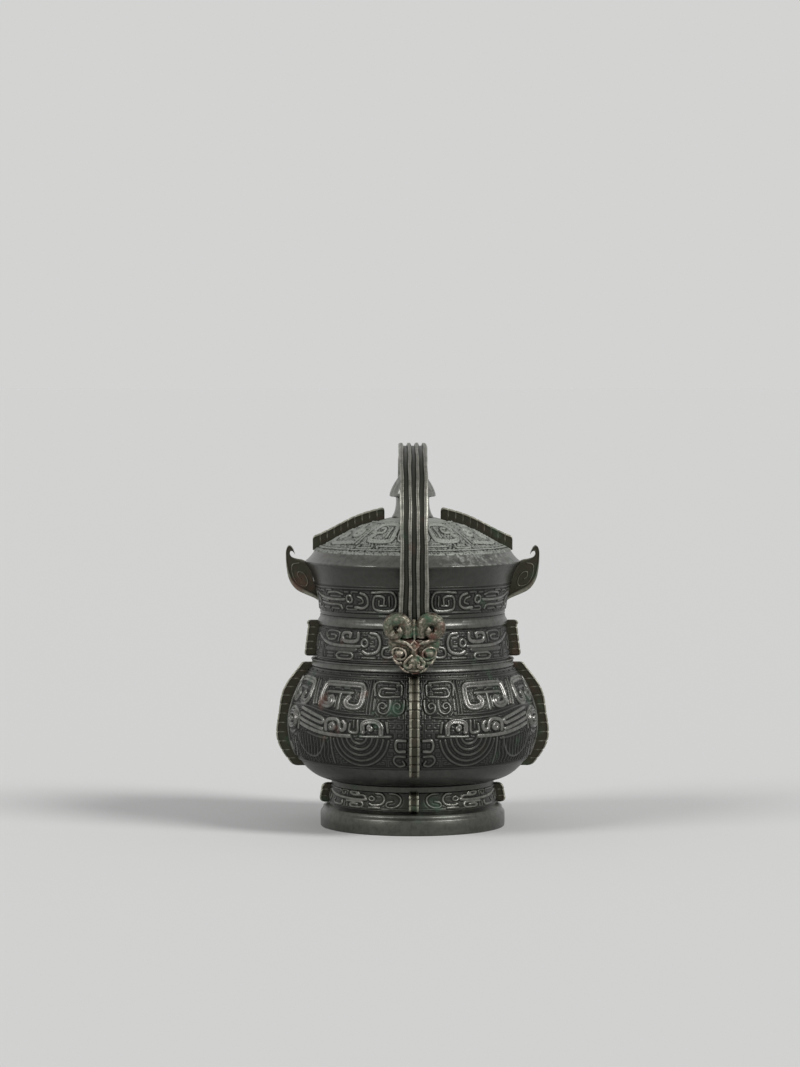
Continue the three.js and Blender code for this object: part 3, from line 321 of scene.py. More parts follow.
def patinated_bronze(name, skin_colour, worn_colour, grime_and_shade, green_share, red_share, crust_share, shine,
                     bloom_size=BLOOM_SIZE, bloom_cover=BLOOM_COVER):
    # Leaded tin bronze, cast and buried. To the eye it is a dull dark metal, grey to olive, rubbed paler on
    # the high places, darkened in the hollows by earth and painted shade, with malachite green and cuprite
    # red-brown blooms and a dry grey-green crust.
    material = bpy.data.materials.new(name)
    material.use_nodes = True
    tree = material.node_tree
    tree.nodes.clear()
    cloud, ramp, sums, mix = "ShaderNodeTexNoise", "ShaderNodeMapRange", "ShaderNodeMath", "ShaderNodeMix"
    soft = {"interpolation_type": "SMOOTHSTEP"}
    colours = {"data_type": "RGBA"}
    place = {"Vector": add_node(tree, "ShaderNodeTexCoord").outputs["Object"]}
    relief = {"Value": add_node(tree, "ShaderNodeAttribute", {"attribute_name": "relief"}).outputs["Fac"]}
    drifted = add_node(tree, "ShaderNodeAttribute", {"attribute_name": "drift"}).outputs["Fac"]

    # the patterns, by their real sizes
    bloom = add_node(tree, cloud, {"Scale": 1 / bloom_size, "Detail": 4.0, "Roughness": 0.6}, place)
    rust_slice = {"noise_dimensions": "4D", "W": RUST_SLICE}
    rust = add_node(tree, cloud, {**rust_slice, "Scale": RUST_FINER / bloom_size, "Detail": 4.0}, place)
    mottle = add_node(tree, cloud, {"Scale": 1 / MOTTLE_SIZE, "Detail": 5.0, "Roughness": 0.65}, place)
    grit = add_node(tree, cloud, {"Scale": 1 / GRIT_SIZE, "Detail": 3.0, "Roughness": 0.7}, place)

    # earth and painted shade in the hollows, and wear on the high places
    high = add_node(tree, ramp, {**soft, "From Min": RUB_START, "From Max": RUB_FULL}, relief)
    hollow_earth_and_shade = {**soft, "From Min": 0.0, "From Max": HOLLOW_END, "To Min": grime_and_shade, "To Max": 0.0}
    low = add_node(tree, ramp, hollow_earth_and_shade, relief)
    patchy = {**soft, "From Min": PATCH_START, "From Max": PATCH_END, "To Min": PATCH_LEAST}
    rub = add_node(tree, ramp, patchy, {"Value": mottle.outputs[0]})
    wear = add_node(tree, sums, {"operation": "MULTIPLY"}, {0: rub.outputs[0], 1: high.outputs[0]})
    earth_and_shade = add_node(tree, mix, {**colours, 6: linear(skin_colour), 7: linear(EARTH_AND_SHADE)}, {0: low.outputs[0]})
    worn_and_shaded = add_node(tree, mix, {**colours, 7: linear(worn_colour)}, {0: wear.outputs[0], 6: earth_and_shade.outputs[2]})

    # green and red blooms, then the crust, which keeps out of the hollows
    green_edge = GREEN_START - BLOOM_GAIN * green_share
    greens = {**soft, "From Min": green_edge, "From Max": green_edge + GREEN_FADE, "To Max": bloom_cover}
    green = add_node(tree, ramp, greens, {"Value": bloom.outputs[0]})
    greened = add_node(tree, mix, {**colours, 7: linear(MALACHITE)},
                       {0: green.outputs[0], 6: worn_and_shaded.outputs[2]})
    red_edge = RED_START - BLOOM_GAIN * red_share
    reds = {**soft, "From Min": red_edge, "From Max": red_edge + RED_FADE, "To Max": bloom_cover}
    red = add_node(tree, ramp, reds, {"Value": rust.outputs[0]})
    reddened = add_node(tree, mix, {**colours, 7: linear(CUPRITE)},
                        {0: red.outputs[0], 6: greened.outputs[2]})
    settled = add_node(tree, sums, {"operation": "ADD"}, {0: mottle.outputs[0], 1: drifted})
    crust_edge = CRUST_START - CRUST_GAIN * crust_share
    crusts = {**soft, "From Min": crust_edge, "From Max": crust_edge + CRUST_FADE, "To Max": CRUST_COVER}
    crust = add_node(tree, ramp, crusts, {"Value": settled.outputs[0]})
    dust = add_node(tree, sums, {"operation": "SUBTRACT", "use_clamp": True},
                    {0: crust.outputs[0], 1: low.outputs[0]})
    crusted = add_node(tree, mix, {**colours, 7: linear(DRY_CRUST)},
                       {0: dust.outputs[0], 6: reddened.outputs[2]})

    # rubbed places shine, green and crusted ones are dry and lumpy
    dry = add_node(tree, sums, {"operation": "MAXIMUM"}, {0: dust.outputs[0], 1: green.outputs[0]})
    shines = {"To Min": SKIN_ROUGH - SHINE_GAIN * shine, "To Max": RUBBED_ROUGH - SHINE_GAIN * shine}
    polish = add_node(tree, ramp, shines, {"Value": wear.outputs[0]})
    rough = add_node(tree, ramp, {"To Max": DRY_ROUGH},
                     {"Value": dry.outputs[0], "To Min": polish.outputs[0]})
    metal = add_node(tree, ramp, {"To Min": BARE_METAL, "To Max": DRY_METAL}, {"Value": dry.outputs[0]})
    heights = add_node(tree, sums, {"operation": "ADD"}, {0: grit.outputs[0], 1: mottle.outputs[0]})
    lumpy = {"To Min": BARE_LUMPS + CRUST_LUMPS_GAIN * crust_share, "To Max": CRUST_LUMPS}
    lumps = add_node(tree, ramp, lumpy, {"Value": dust.outputs[0]})
    bump = add_node(tree, "ShaderNodeBump", {"Distance": LUMP_HEIGHT},
                    {"Height": heights.outputs[0], "Strength": lumps.outputs[0]})
    shader = add_node(tree, "ShaderNodeBsdfPrincipled", {}, {
        "Base Color": crusted.outputs[2], "Roughness": rough.outputs[0], "Metallic": metal.outputs[0],
        "Normal": bump.outputs[0]})
    add_node(tree, "ShaderNodeOutputMaterial", {}, {"Surface": shader.outputs[0]})
    return material


# One dragon in profile for a quarter of the band, drawn 142 mm long and 28 mm high: it faces the front, with
# a ring eye, a curled crest, a long body bar and a tail that coils at the side flange.
DRAWN_LONG, DRAWN_HIGH = 142, 28
DRAGON = [
    (1.5, 2.2, [(47.7, 17.3), (46.8, 19.5), (44.5, 20.5), (42.2, 19.5), (41.3, 17.3), (42.2, 15.1),
                (44.5, 14.1), (46.8, 15.1), (47.7, 17.3)]),
    (1.1, 3.6, [(51, 15.5), (60, 14.4), (80, 14.8), (100, 16.4), (113, 19), (122, 21.5), (130, 19.5),
                (132, 13), (127, 8.6), (120, 9.6), (119, 14)]),
    (1.2, 3.0, [(52.5, 19.5), (57, 21.5), (67, 21), (73.5, 22.5), (73.5, 26), (66, 26.4), (62, 24.6),
                (65, 23.6)]),
    (1.0, 2.0, [(80, 20), (80, 26.5), (89, 26.5), (89, 21), (84, 21), (84, 23.6)]),
    (1.0, 2.0, [(94, 22), (94, 26.3), (110, 26.3)]),
    (1.1, 2.6, [(80, 10.6), (66, 11), (57.5, 10.4), (55, 7), (58, 3.6), (70, 3.2), (74, 6), (69, 8),
                (63, 7.2)]),
    (0.9, 1.8, [(79, 9), (79, 2.6)]),
    (0.9, 1.8, [(83.5, 9.4), (83.5, 2.6)]),
    (1.0, 2.4, [(89, 10.5), (89, 4.5), (104, 4.5), (108, 8), (104, 11)]),
    (1.1, 2.8, [(40, 25.5), (33, 24), (30, 17), (33, 9.5), (42, 7.5), (47, 9.5)]),
    (1.0, 2.2, [(25, 26), (18, 25), (13, 19), (14, 10), (20, 5), (27, 6), (27, 12), (21, 14)]),
    (0.9, 1.6, [(34, 4), (48, 4)]),
    (0.8, 1.2, [(4, 1.6), (138, 1.6)]),
]
# the same dragon squeezed to the foot, lower and in thinner strokes, which are squeezed less than the rest
FOOT_LONG, FOOT_HIGH = 124, 16
FOOT_LOWER, FOOT_STROKE_GAIN, THINNEST = 0.9, 1.25, 1.2
squeeze_long, squeeze_high = FOOT_LONG / DRAWN_LONG, FOOT_HIGH / DRAWN_HIGH
foot_dragon = []
for lift, width, corners in DRAGON:
    squeezed = [(across * squeeze_long, up * squeeze_high) for across, up in corners]
    thinner = max(width * (squeeze_high * FOOT_STROKE_GAIN), THINNEST)
    foot_dragon.append((lift * FOOT_LOWER, thinner, squeezed))

# rubbed cast bronze: dull dark grey metal, a little paler on the base, with next to no bloom
foot_bronze = patinated_bronze("bronze_foot_rubbed", "3a3b37", "7c7b75", grime_and_shade=0.7, green_share=0.1,
                               red_share=0.1, crust_share=0.0, shine=1.2)
foot_rub = [FOOT_BASE_RUB if height < FOOT_BASE_TOP else FOOT_WALL_RUB for _, height in FOOT_PROFILE]
foot = turned_shell("foot_ring_wall", FOOT_PROFILE, foot_rub, True)
foot_band = relief_band("foot_dragon_band", FOOT_BAND, foot_dragon, ground=0.4, pitch=5.4, top=1.1,
                        quarters=ALL_ROUND, plain=0.3)
for piece in (foot, foot_band):
    piece.data.materials.append(foot_bronze)
    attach(piece, "vessel")
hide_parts("foot_ring")

# Vessel wall
# The body that holds the wine: a deep oval belly, a plain raised ridge, a neck, a collar and a thin
# lip inside the lid. Cast in one; the belly carries masks in raised bands over a ground of spirals.
WAIST, WIDEST, RIDGE = (71.0, 41.3), (108.0, 90.3), (88.0, 140.4)
SHOULDER_BEND = 1.8
LOW_STEPS, HIGH_STEPS = 36, 32
BAND_SINK = 0.5


def belly_curve(sink, low_steps=LOW_STEPS, high_steps=HIGH_STEPS):
    # outer line of the belly from the waist to the ridge, drawn in by sink where a band covers it
    low = [(WAIST[0] + (WIDEST[0] - WAIST[0]) * math.sin(turn) - sink * math.sin(turn),
            WIDEST[1] - (WIDEST[1] - WAIST[1]) * math.cos(turn) + sink * math.cos(turn))
           for turn in np.linspace(0, np.pi / 2, low_steps)]
    high = [(WIDEST[0] - (WIDEST[0] - RIDGE[0]) * part**SHOULDER_BEND - sink,
             WIDEST[1] + (RIDGE[1] - WIDEST[1]) * part)
            for part in np.linspace(0, 1, high_steps)[1:]]
    return low + high


WALL_PROFILE = [(0.4, 41.3)] + belly_curve(BAND_SINK) + [
    (88.3, 140.5), (88.7, 141.3), (88.3, 142.0), (88.0, 142.6), (88.0, 144.8), (88.3, 145.3), (88.7, 146.0),
    (88.1, 146.8), (85.6, 147.3), (84.6, 147.8), (84.3, 149.5), (80.9, 175.3), (81.6, 176.4), (82.5, 177.3),
    (82.7, 178.9), (82.5, 180.4), (81.6, 182.0), (80.9, 182.9), (80.8, 185.0), (80.3, 185.6), (75.9, 185.7),
    (75.9, 196.5), (75.4, 197.1), (73.4, 197.1), (72.9, 196.5), (72.9, 182.7), (77.9, 175.3), (81.5, 147.3),
    (84.5, 138.9), (93.0, 122.0), (99.5, 108.0), (103.4, 97.0), (104.5, 90.0), (102.5, 79.0), (97.5, 67.0),
    (90.0, 57.0), (80.0, 50.0), (66.3, 46.2), (0.4, 46.0),
]
RIDGE_LOW, RIDGE_HIGH, COLLAR_LOW, COLLAR_HIGH = 140.4, 147.5, 175.5, 183
RIDGE_RUB, WALL_RUB = 0.68, 0.56
BAND_STEPS, BAND_FIRST, BAND_LAST = 80, 43, -2
BELLY_BAND = belly_curve(0.0, BAND_STEPS, BAND_STEPS)[BAND_FIRST:BAND_LAST]
BELLY_FOOT = 12.5
NECK_BAND = [(84.8, 148.0), (81.45, 175.0)]

# One quarter of the belly, unrolled: millimetres from the front flange and up from the lower bend.
# The mask is centred on the side flange: hooked horns above, an eye row, ringed jaws and feathers below.
MASK = [
    (1.7, 5.6, [(63.4, 76.2), (66, 73), (64, 69.6), (59, 68.2), (53, 68.4), (49.8, 70.6), (49, 76),
                (49.2, 84), (50.8, 87.2), (55, 88.2), (76, 88.6), (94, 88.2), (97.8, 86.4), (98.8, 81),
                (98.2, 74.6), (95.4, 70.4), (89.6, 68.8), (84, 69.4), (81.8, 72.2), (83.4, 75.2),
                (87, 74.6)]),
    (1.2, 2.8, [(60, 80.6), (91, 80.6)]),
    (1.2, 3.2, [(74.4, 79), (74, 66)]),
    (1.0, 1.8, [(66, 84.6), (72, 84.6)]),
    (1.0, 1.8, [(78, 84.6), (84, 84.6)]),
    (1.0, 1.6, [(78.2, 77), (78, 67)]),
    (1.1, 2.4, [(112, 90), (109, 80), (105.6, 69)]),
    (1.1, 2.4, [(117, 90.5), (113.5, 80), (110, 68.6)]),
    (1.0, 1.6, [(103.4, 90), (103.4, 80), (101.4, 68)]),
    (1.7, 5.6, [(133, 76.4), (135.6, 72.6), (132, 69), (125, 69), (120.8, 72), (119.8, 78), (121, 85),
                (125, 88.4), (144, 89.6), (160, 88.8), (164.4, 86), (165, 79), (162, 72.4), (156, 70.2),
                (149.6, 71.4), (148, 75.4), (152, 77.6)]),
    (1.1, 2.4, [(133, 81), (152, 81.8)]),
    (1.1, 1.9, [(29.4, 68.6), (27.4, 67.6), (25.6, 69.4), (26.6, 72), (30, 72.6), (32.4, 69.4),
                (31.2, 65.2), (27, 63.2), (22.8, 65.4), (21.8, 71), (22, 75.4)]),
    (1.1, 1.9, [(15.8, 68.6), (14, 67.6), (12.4, 69.4), (13.4, 72), (16.4, 72.4), (18.6, 69.2),
                (17.4, 65.2), (13.4, 63.4), (9.6, 65.6), (8.6, 71), (8.8, 75.4)]),
    (1.2, 2.4, [(14, 78.4), (31, 78.4), (31, 85.4), (18, 85.4)]),
    (1.1, 2.0, [(19, 82), (26, 82)]),
    (1.1, 2.0, [(16, 88.6), (11.4, 88.6), (11.4, 80)]),
    (1.1, 2.2, [(36.6, 79), (36.6, 91.4), (14, 91.4)]),
    (1.1, 2.0, [(36.6, 76), (36.4, 66)]),
    (1.0, 1.4, [(40, 93), (39.6, 62.6)]),
    (1.0, 1.4, [(43, 93), (42.8, 62.4)]),
    (1.0, 1.5, [(16, 60.2), (40, 58.8), (70, 59.6), (90, 62), (110, 65), (132, 66.2), (168, 65)]),
    (0.9, 1.2, [(36, 62), (70, 62.6), (92, 65), (112, 67.4)]),
    (2.6, 4.2, [(44.6, 47.6), (45, 53.4), (41, 56), (32, 55.8), (28.6, 52), (28.4, 46)]),
    (2.8, 5.0, [(38, 50.2), (38.8, 51.2)]),
    (1.2, 2.2, [(24, 55.6), (22.6, 47.4)]),
    (1.3, 2.4, [(50.4, 56.6), (50.4, 47.2), (58, 47.2), (58, 53.4)]),
    (1.1, 1.8, [(54.2, 56.6), (54.2, 50.6)]),
    (1.9, 3.3, [(84.6, 47.6), (85, 53), (83, 56), (78, 57), (72, 56.4), (69.4, 53.6), (68.6, 49.8),
                (66, 48), (63, 49.6), (63.2, 53.4), (65.4, 55.4)]),
    (2.6, 3.3, [(79.2, 51.6), (77.2, 53), (75, 52.2), (74.4, 50), (76.4, 48.6), (79, 49.6)]),
    (1.7, 3.0, [(127, 63.4), (112, 61), (98, 58.2), (91, 56.6), (88.6, 54.8), (91, 52.8), (98, 53.8),
                (112, 56.4), (127, 58.8)]),
    (1.6, 3.0, [(128, 54.4), (112, 51.8), (98, 49.2), (89.6, 47.8)]),
    (1.2, 2.0, [(20, 44), (34, 43.6), (48, 43.4)]),
    (1.5, 3.2, [(58, 43.4), (76, 43.6), (92, 44.6), (110, 47.2), (127, 50.2)]),
    (1.0, 1.7, [(84, 40), (98, 41), (113, 43.4)]),
    (3.4, 4.4, [(156, 52.4), (152.6, 57), (145, 58.4), (137.6, 56.4), (135, 52.4), (138, 48.4), (145, 46.8),
                (152.6, 48.2), (156, 52.4)]),
    (4.0, 4.4, [(143.4, 52.6), (147, 52.6)]),
    (1.4, 3.0, [(130.8, 46), (132, 57), (146, 62.6), (160, 60.2), (165, 52.4)]),
    (1.8, 5.4, [(176, 88), (175, 66), (173.6, 46), (175, 32), (171, 22.4), (163.6, 21.4), (161, 26.4),
                (165, 29.4)]),
    (1.3, 2.4, [(7, 40.6), (14.4, 40.6), (16, 36), (14, 31.4), (7.6, 31.4)]),
    (1.1, 2.0, [(7.6, 26.6), (16, 26.6), (18, 22), (13.6, 17.6), (8.4, 19), (10, 22.4)]),
    (1.1, 2.2, [(79.4, 41), (79.4, 18)]),
    (1.2, 2.4, [(140, 43), (150, 40.6), (160, 42)]),
    (1.2, 2.6, [(142, 36), (144, 25.4), (152, 19.4)]),
    (1.2, 2.6, [(150, 36), (151, 29.4), (157, 25)]),
    (0.9, 1.4, [(6, 15), (60, 14.8), (120, 14.8), (176, 15)]),
    (0.9, 1.3, [(6, 95), (60, 95), (120, 95), (178, 95)]),
]
# the jaws' rings hang like bowls from one level
JAW_LEVEL = 45
JAW_ARC = np.linspace(1.06, 1.94, 9) * math.pi
for centre, bowl in ((49, 8), (49, 13), (49, 18), (49, 23), (49, 27.6), (110, 22.6)):
    jaw = [(centre + bowl * math.cos(turn), JAW_LEVEL + bowl * math.sin(turn)) for turn in JAW_ARC]
    MASK.append((1.0, 2.0, jaw))
# the feathers stand in a row, with roots that rise a little along it
FEATHER_START, FEATHER_END, FEATHER_PITCH = 83, 137, 5
FEATHER_ROOT, FEATHER_ROOT_RISE = 37.6, 0.1
FEATHER_SHAFT = [(0.6, 31), (3.4, 24), (2.6, 18.4)]
for start in range(FEATHER_START, FEATHER_END, FEATHER_PITCH):
    root = FEATHER_ROOT + FEATHER_ROOT_RISE * (start - FEATHER_START)
    MASK.append((0.9, 1.8, [(start, root)] + [(start + across, up) for across, up in FEATHER_SHAFT]))

# One quarter of the neck, unrolled: the dragon has a ring eye, a thick curled horn and a squared coil above
# its back, a plain flank with a mouth-shaped ring under it, and a tail that coils at the side flange.
NECK_DRAGON = [
    (1.4, 2.1, [(48.7, 16.8), (47.8, 19), (45.5, 20), (43.2, 19), (42.3, 16.8), (43.2, 14.6), (45.5, 13.6),
                (47.8, 14.6), (48.7, 16.8)]),
    (1.3, 3.3, [(53, 25.2), (52.8, 20.6), (55.8, 18), (63, 17.4), (69.4, 18), (72.4, 20.8), (71.2, 24.2),
                (66.4, 25.6), (61.8, 24.2), (62.4, 21.6)]),
    (1.1, 2.6, [(50.5, 13.8), (64, 13.6), (84, 13.8), (100, 15.6), (113, 19), (122, 21.5), (130, 19.5),
                (132, 13), (127, 8.6), (120, 9.6), (119, 14)]),
    (0.8, 3.3, [(55, 10.4), (98, 10.2)]),
    (1.1, 1.9, [(57.6, 5), (59.6, 7.2), (66, 7.8), (75, 7.6), (79.4, 5.2), (76, 2.8), (68, 2.3), (60, 2.8),
                (57.6, 5)]),
    (0.9, 1.6, [(64, 5.1), (73, 5.1)]),
    (1.0, 1.7, [(78.6, 17), (78.6, 25.2), (97, 25.2), (97, 18.8), (84, 18.8), (84, 22.2), (91.6, 22.2)]),
    (0.9, 1.5, [(85, 6.6), (95, 6.6)]),
    (0.9, 1.5, [(85, 3.8), (95, 3.8)]),
    (1.0, 1.6, [(101.4, 25.6), (101.4, 19.4)]),
    (1.0, 1.6, [(105.6, 25.6), (105.6, 20.4)]),
    (1.0, 1.6, [(101, 12.4), (101, 3)]),
    (1.0, 1.6, [(105.4, 13.4), (105.4, 3)]),
    (1.1, 2.8, [(40, 25.5), (33, 24), (30, 17), (33, 9.5), (42, 7.5), (47, 9.5)]),
    (1.0, 2.2, [(25, 26), (18, 25), (13, 19), (14, 10), (20, 5), (27, 6), (27, 12), (21, 14)]),
    (0.9, 1.6, [(34, 4), (48, 4)]),
    (0.8, 1.2, [(4, 1.4), (138, 1.4)]),
]
# cast bronze with its burial skin: hollows darkened by earth and painted shade, pale worn strokes and a soft
# gleam
wall_bronze = patinated_bronze("bronze_cast_dark", "3a3b38", "7d7c78", grime_and_shade=0.62, green_share=0.15,
                               red_share=0.1, crust_share=0.0, shine=1.2)
wall_rub = [RIDGE_RUB if RIDGE_LOW < height < RIDGE_HIGH or COLLAR_LOW < height < COLLAR_HIGH else WALL_RUB
            for _, height in WALL_PROFILE]
wall = turned_shell("vessel_wall_core", WALL_PROFILE, wall_rub)
belly_cast = {"ground": 0.85, "pitch": 8.0, "top": 1.6, "plain": 0.15, "foot": BELLY_FOOT}
belly_right = relief_band("belly_masks_right", BELLY_BAND, MASK, quarters=(0, 1), **belly_cast)
belly_left = relief_band("belly_masks_left", BELLY_BAND, MASK, quarters=(2, 3), **belly_cast)
neck_band = relief_band("neck_dragon_band", NECK_BAND, NECK_DRAGON, ground=0.7, pitch=6.8, top=1.3,
                        quarters=ALL_ROUND, plain=0.16)
for piece in (wall, belly_right, belly_left, neck_band):
    piece.data.materials.append(wall_bronze)
    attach(piece, "vessel")
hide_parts("vessel_wall")

# Flanges
# Upright bronze fins on the belly, neck and foot, cast where the clay mould's sections met. Each has two
# rubbed edges, paler partly as painted highlight, with a sunk strip between them, small ticks across, and
# flat sides left dark.
FIN_HALF, FIN_STEP, FIN_CORNER, FIN_CREASE = 4.3, 0.4, 3.4, 50
TICK_HALF, TICK_SIDE, TICK_NARROWER = 0.75, 0.5, 0.2
FIN_END_TAPER, FIN_END_FADE = 0.5, 1.2
# half a fin's section, from the foot of its side to near the middle of its edge: inset from the side, share
# of the fin's height, drop from that, drop inside a tick, how rubbed it is (the pale edges are partly painted
# highlight), and what a tick adds to that
FIN_SECTION = [
    (0.6, 0.0, 1.6, 0.0, 0.34, 0.0), (0.6, 0.3, 0.0, 0.0, 0.36, 0.1), (0.6, 1.0, 2.6, 2.4, 0.4, 0.35),
    (0.55, 1.0, 1.8, 1.8, 0.3, 0.35), (0.0, 1.0, 1.4, 0.0, 0.7, 0.0), (0.0, 1.0, 0.6, 0.0, 0.85, -0.2),
    (0.3, 1.0, 0.15, 0.0, 0.9, -0.2), (0.8, 1.0, 0.0, 0.0, 0.85, -0.2), (1.5, 1.0, 0.0, 0.0, 0.8, -0.2),
    (1.9, 1.0, 0.2, 0.0, 0.62, -0.15), (2.3, 1.0, 0.8, 0.0, 0.36, -0.1),
]
FIN_MIDDLE_DROP, FIN_MIDDLE_RUB, FIN_MIDDLE_TICK = 0.9, 0.32, -0.1
SIDE_DIRECTIONS = {"right": (1, 0), "back": (0, 1), "left": (-1, 0), "front": (0, -1)}
FRONT_AND_BACK = ("front", "back")


def fin(name, base, out, reach, direction, ticks, tick_depth, corner=FIN_CORNER):
    # base is the line the fin grows from and out the way it grows, both as distance out and height
    way = np.concatenate([[0.0], np.cumsum(np.hypot(*np.diff(base, axis=0).T))])
    even = np.linspace(0.0, way[-1], int(way[-1] / FIN_STEP))
    line = np.stack([np.interp(even, way, base[:, 0]), np.interp(even, way, base[:, 1])], axis=-1)
    pitch = way[-1] / (ticks + 1)
    from_tick = np.abs((even / pitch + 0.5) % 1 - 0.5) * pitch
    from_end = np.minimum(even, way[-1] - even)
    in_tick = np.where(from_end > pitch / 2, soft_step((TICK_HALF - from_tick) / TICK_SIDE), 0.0)[:, None]
    rounded = 1 - np.sqrt(np.clip(1 - np.clip(1 - from_end / corner, 0, 1) ** 2, 0, 1))
    top = np.interp(even, way, reach)[:, None] - tick_depth * in_tick - corner * rounded[:, None]
    taper = FIN_END_TAPER * (1 - soft_step(from_end / FIN_END_FADE))
    half = FIN_HALF - TICK_NARROWER * in_tick - taper[:, None]
    inset, height_share, drop, tick_drop, rub, tick_rub = np.array(FIN_SECTION).T
    side_across = half - inset
    side_grow = top * height_share - drop - tick_drop * in_tick
    side_tone = rub + tick_rub * in_tick
    middle_tone = FIN_MIDDLE_RUB + FIN_MIDDLE_TICK * in_tick
    across = np.hstack([-side_across, 0 * top, side_across[:, ::-1]])
    grow = np.hstack([side_grow, top - FIN_MIDDLE_DROP, side_grow[:, ::-1]])
    tone = np.hstack([side_tone, middle_tone, side_tone[:, ::-1]])
    distance = line[:, :1] + grow * out[0]
    height = line[:, 1:] + grow * out[1]
    x = distance * direction[0] - across * direction[1]
    y = distance * direction[1] + across * direction[0]
    return skin(name, np.stack([x, y, height], axis=-1) * MILLIMETRE, tone, False, FIN_CREASE)


FIN_LINE_STEPS = 60
WALL_TICK_DEPTH = 0.7


def wall_fin(name, profile, low, high, reach, side, ticks, swell=0.0, corner=FIN_CORNER):
    # a fin that stands straight out from a profile between two heights, with two swells along its edge
    heights = np.linspace(low, high, FIN_LINE_STEPS)
    line = np.array(profile)
    stretch = OVAL_DEPTH if side in FRONT_AND_BACK else 1.0
    base = np.stack([np.interp(heights, line[:, 1], line[:, 0]) * stretch, heights], axis=-1)
    grown = reach + swell * np.sin(2 * np.pi * (heights - low) / (high - low)) ** 2
    return fin(name, base, (1, 0), grown, SIDE_DIRECTIONS[side], ticks, WALL_TICK_DEPTH, corner)


BELLY_LINE = belly_curve(0.0) + [(88.0, 146.8)]
NECK_LINE = [(85.0, 147.3), (81.4, 175.3), (82.6, 177.4), (82.6, 180.5)]
FOOT_LINE = [(74.0, 20.0), (72.0, 30.5), (71.0, 41.0)]
BELLY_FIN_TOP, BELLY_FIN_TOP_UNDER_HEAD = 142.8, 138.4
# worn bronze with earth and painted shade on it: brownish dark sides, pale dry edges that are partly painted
# highlight, a little green and red
fin_bronze = patinated_bronze("bronze_flange_worn", "413f35", "a19f91", grime_and_shade=0.6, green_share=0.4,
                              red_share=0.45, crust_share=0.25, shine=0.8)
fins = []
for side in SIDE_DIRECTIONS:
    belly_top = BELLY_FIN_TOP_UNDER_HEAD if side in FRONT_AND_BACK else BELLY_FIN_TOP
    belly_fin = wall_fin("belly_fin_" + side, BELLY_LINE, low=52.3, high=belly_top, reach=10.0, side=side,
                         ticks=11, swell=2.4)
    fins.append((belly_fin, "belly_flange_" + side))
    foot_fin = wall_fin("foot_fin_" + side, FOOT_LINE, low=20.3, high=37.0, reach=8.2, side=side, ticks=2,
                        corner=5.0)
    fins.append((foot_fin, "foot_flange_" + side))
    if side not in FRONT_AND_BACK:
        neck_fin = wall_fin("neck_fin_" + side, NECK_LINE, low=148.3, high=179.5, reach=10.0, side=side,
                            ticks=4)
        fins.append((neck_fin, "neck_flange_" + side))
for piece, node in fins:
    piece.data.materials.append(fin_bronze)
    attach(piece, "vessel")
    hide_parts(node)

# Lugs
# Two half rings of round bronze bar on the neck, front and back, that the bail's loops hang in. Their ends
# run into the neck, where they were cast on.
PIVOT = 165.3
LUG_RADIUS = 2.2
BAR_COLUMNS, BAR_STEPS, BAR_RUB = 20, 8, 0.7
# a direction that no bar starts along
ASLANT = (0.31, 0.52, 0.79)


def round_bar(name, corners, radius, columns=BAR_COLUMNS, steps=BAR_STEPS, rub=BAR_RUB):
    # bar swept along a curve through its corners; radius may change along it
    line = smooth_line(corners, steps)
    along = np.gradient(line, axis=0)
    along = along / np.linalg.norm(along, axis=1)[:, None]
    side = np.cross(along[0], ASLANT)
    sides = []
    for step in along:
        side = side - step * np.dot(side, step)
        side = side / np.linalg.norm(side)
        sides.append(side)
    sides = np.array(sides)
    ups = np.cross(along, sides)
    around = np.arange(columns) * 2 * np.pi / columns
    size = np.interp(np.linspace(0, 1, len(line)), np.linspace(0, 1, np.size(radius)), np.atleast_1d(radius))
    circle = sides[:, None] * np.cos(around)[None, :, None] + ups[:, None] * np.sin(around)[None, :, None]
    points = line[:, None] + circle * size[:, None, None]
    return skin(name, points * MILLIMETRE, rub)


def turned_back(corners, back):
    # the same corners at the back of the vessel instead of the front
    return [(-x, -y, z) if back else (x, y, z) for x, y, z in corners]


LUG_CORNERS = [
    (0, -94.0, 180.3), (0, -102.6, 180.3), (0, -105.4, 179.2), (0, -106.4, 176.4), (0, -106.4, PIVOT),
    (0, -106.4, 154.2), (0, -105.4, 151.4), (0, -102.6, 150.3), (0, -96.0, 150.3),
]
for side in FRONT_AND_BACK:
    lug = round_bar("lug_ring_" + side, turned_back(LUG_CORNERS, side == "back"), LUG_RADIUS)
    lug.data.materials.append(fin_bronze)
    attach(lug, "vessel")
    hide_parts("lug_" + side)

# Lid shell
# A domed oval bronze lid: a skirt with dragons that drops over the lip, a flared rim, a plain rubbed
# shoulder and a dome with masks under a dry grey-green crust left from burial.
SKIRT_LINE = smooth_line([
    (80.8, 186.0), (81.6, 195.0), (83.05, 203.5), (85.3, 211.0), (87.8, 219.3), (91.0, 225.8), (93.3, 229.4)])
SHOULDER_LINE = smooth_line([(93.4, 231.6), (91.2, 233.4), (88.3, 236.6), (86.0, 240.0), (84.6, 242.0)])
DOME_LINE = smooth_line([
    (84.0, 242.4), (73.1, 247.7), (63.0, 253.2), (52.1, 258.8), (40.3, 263.4), (28.6, 266.7), (20.5, 268.8)])
SKIRT_LOW, SKIRT_HIGH, SKIRT_LAP = 188.0, 213.6, 0.4
DOME_SUNK_IN, DOME_SUNK_OUT = 30.0, 82.8
DOME_BAND_IN, DOME_BAND_OUT = 29.0, 83.6
DOME_FOOT = -3.2
LID_INSIDE = [
    (0.4, 264.6), (27.2, 262.5), (38.9, 259.2), (50.7, 254.6), (61.6, 249.0), (71.7, 243.5), (79.8, 231.9),
    (81.1, 211.0), (77.4, 195.0), (76.6, 186.3), (76.9, 186.0), (80.4, 186.0),
]
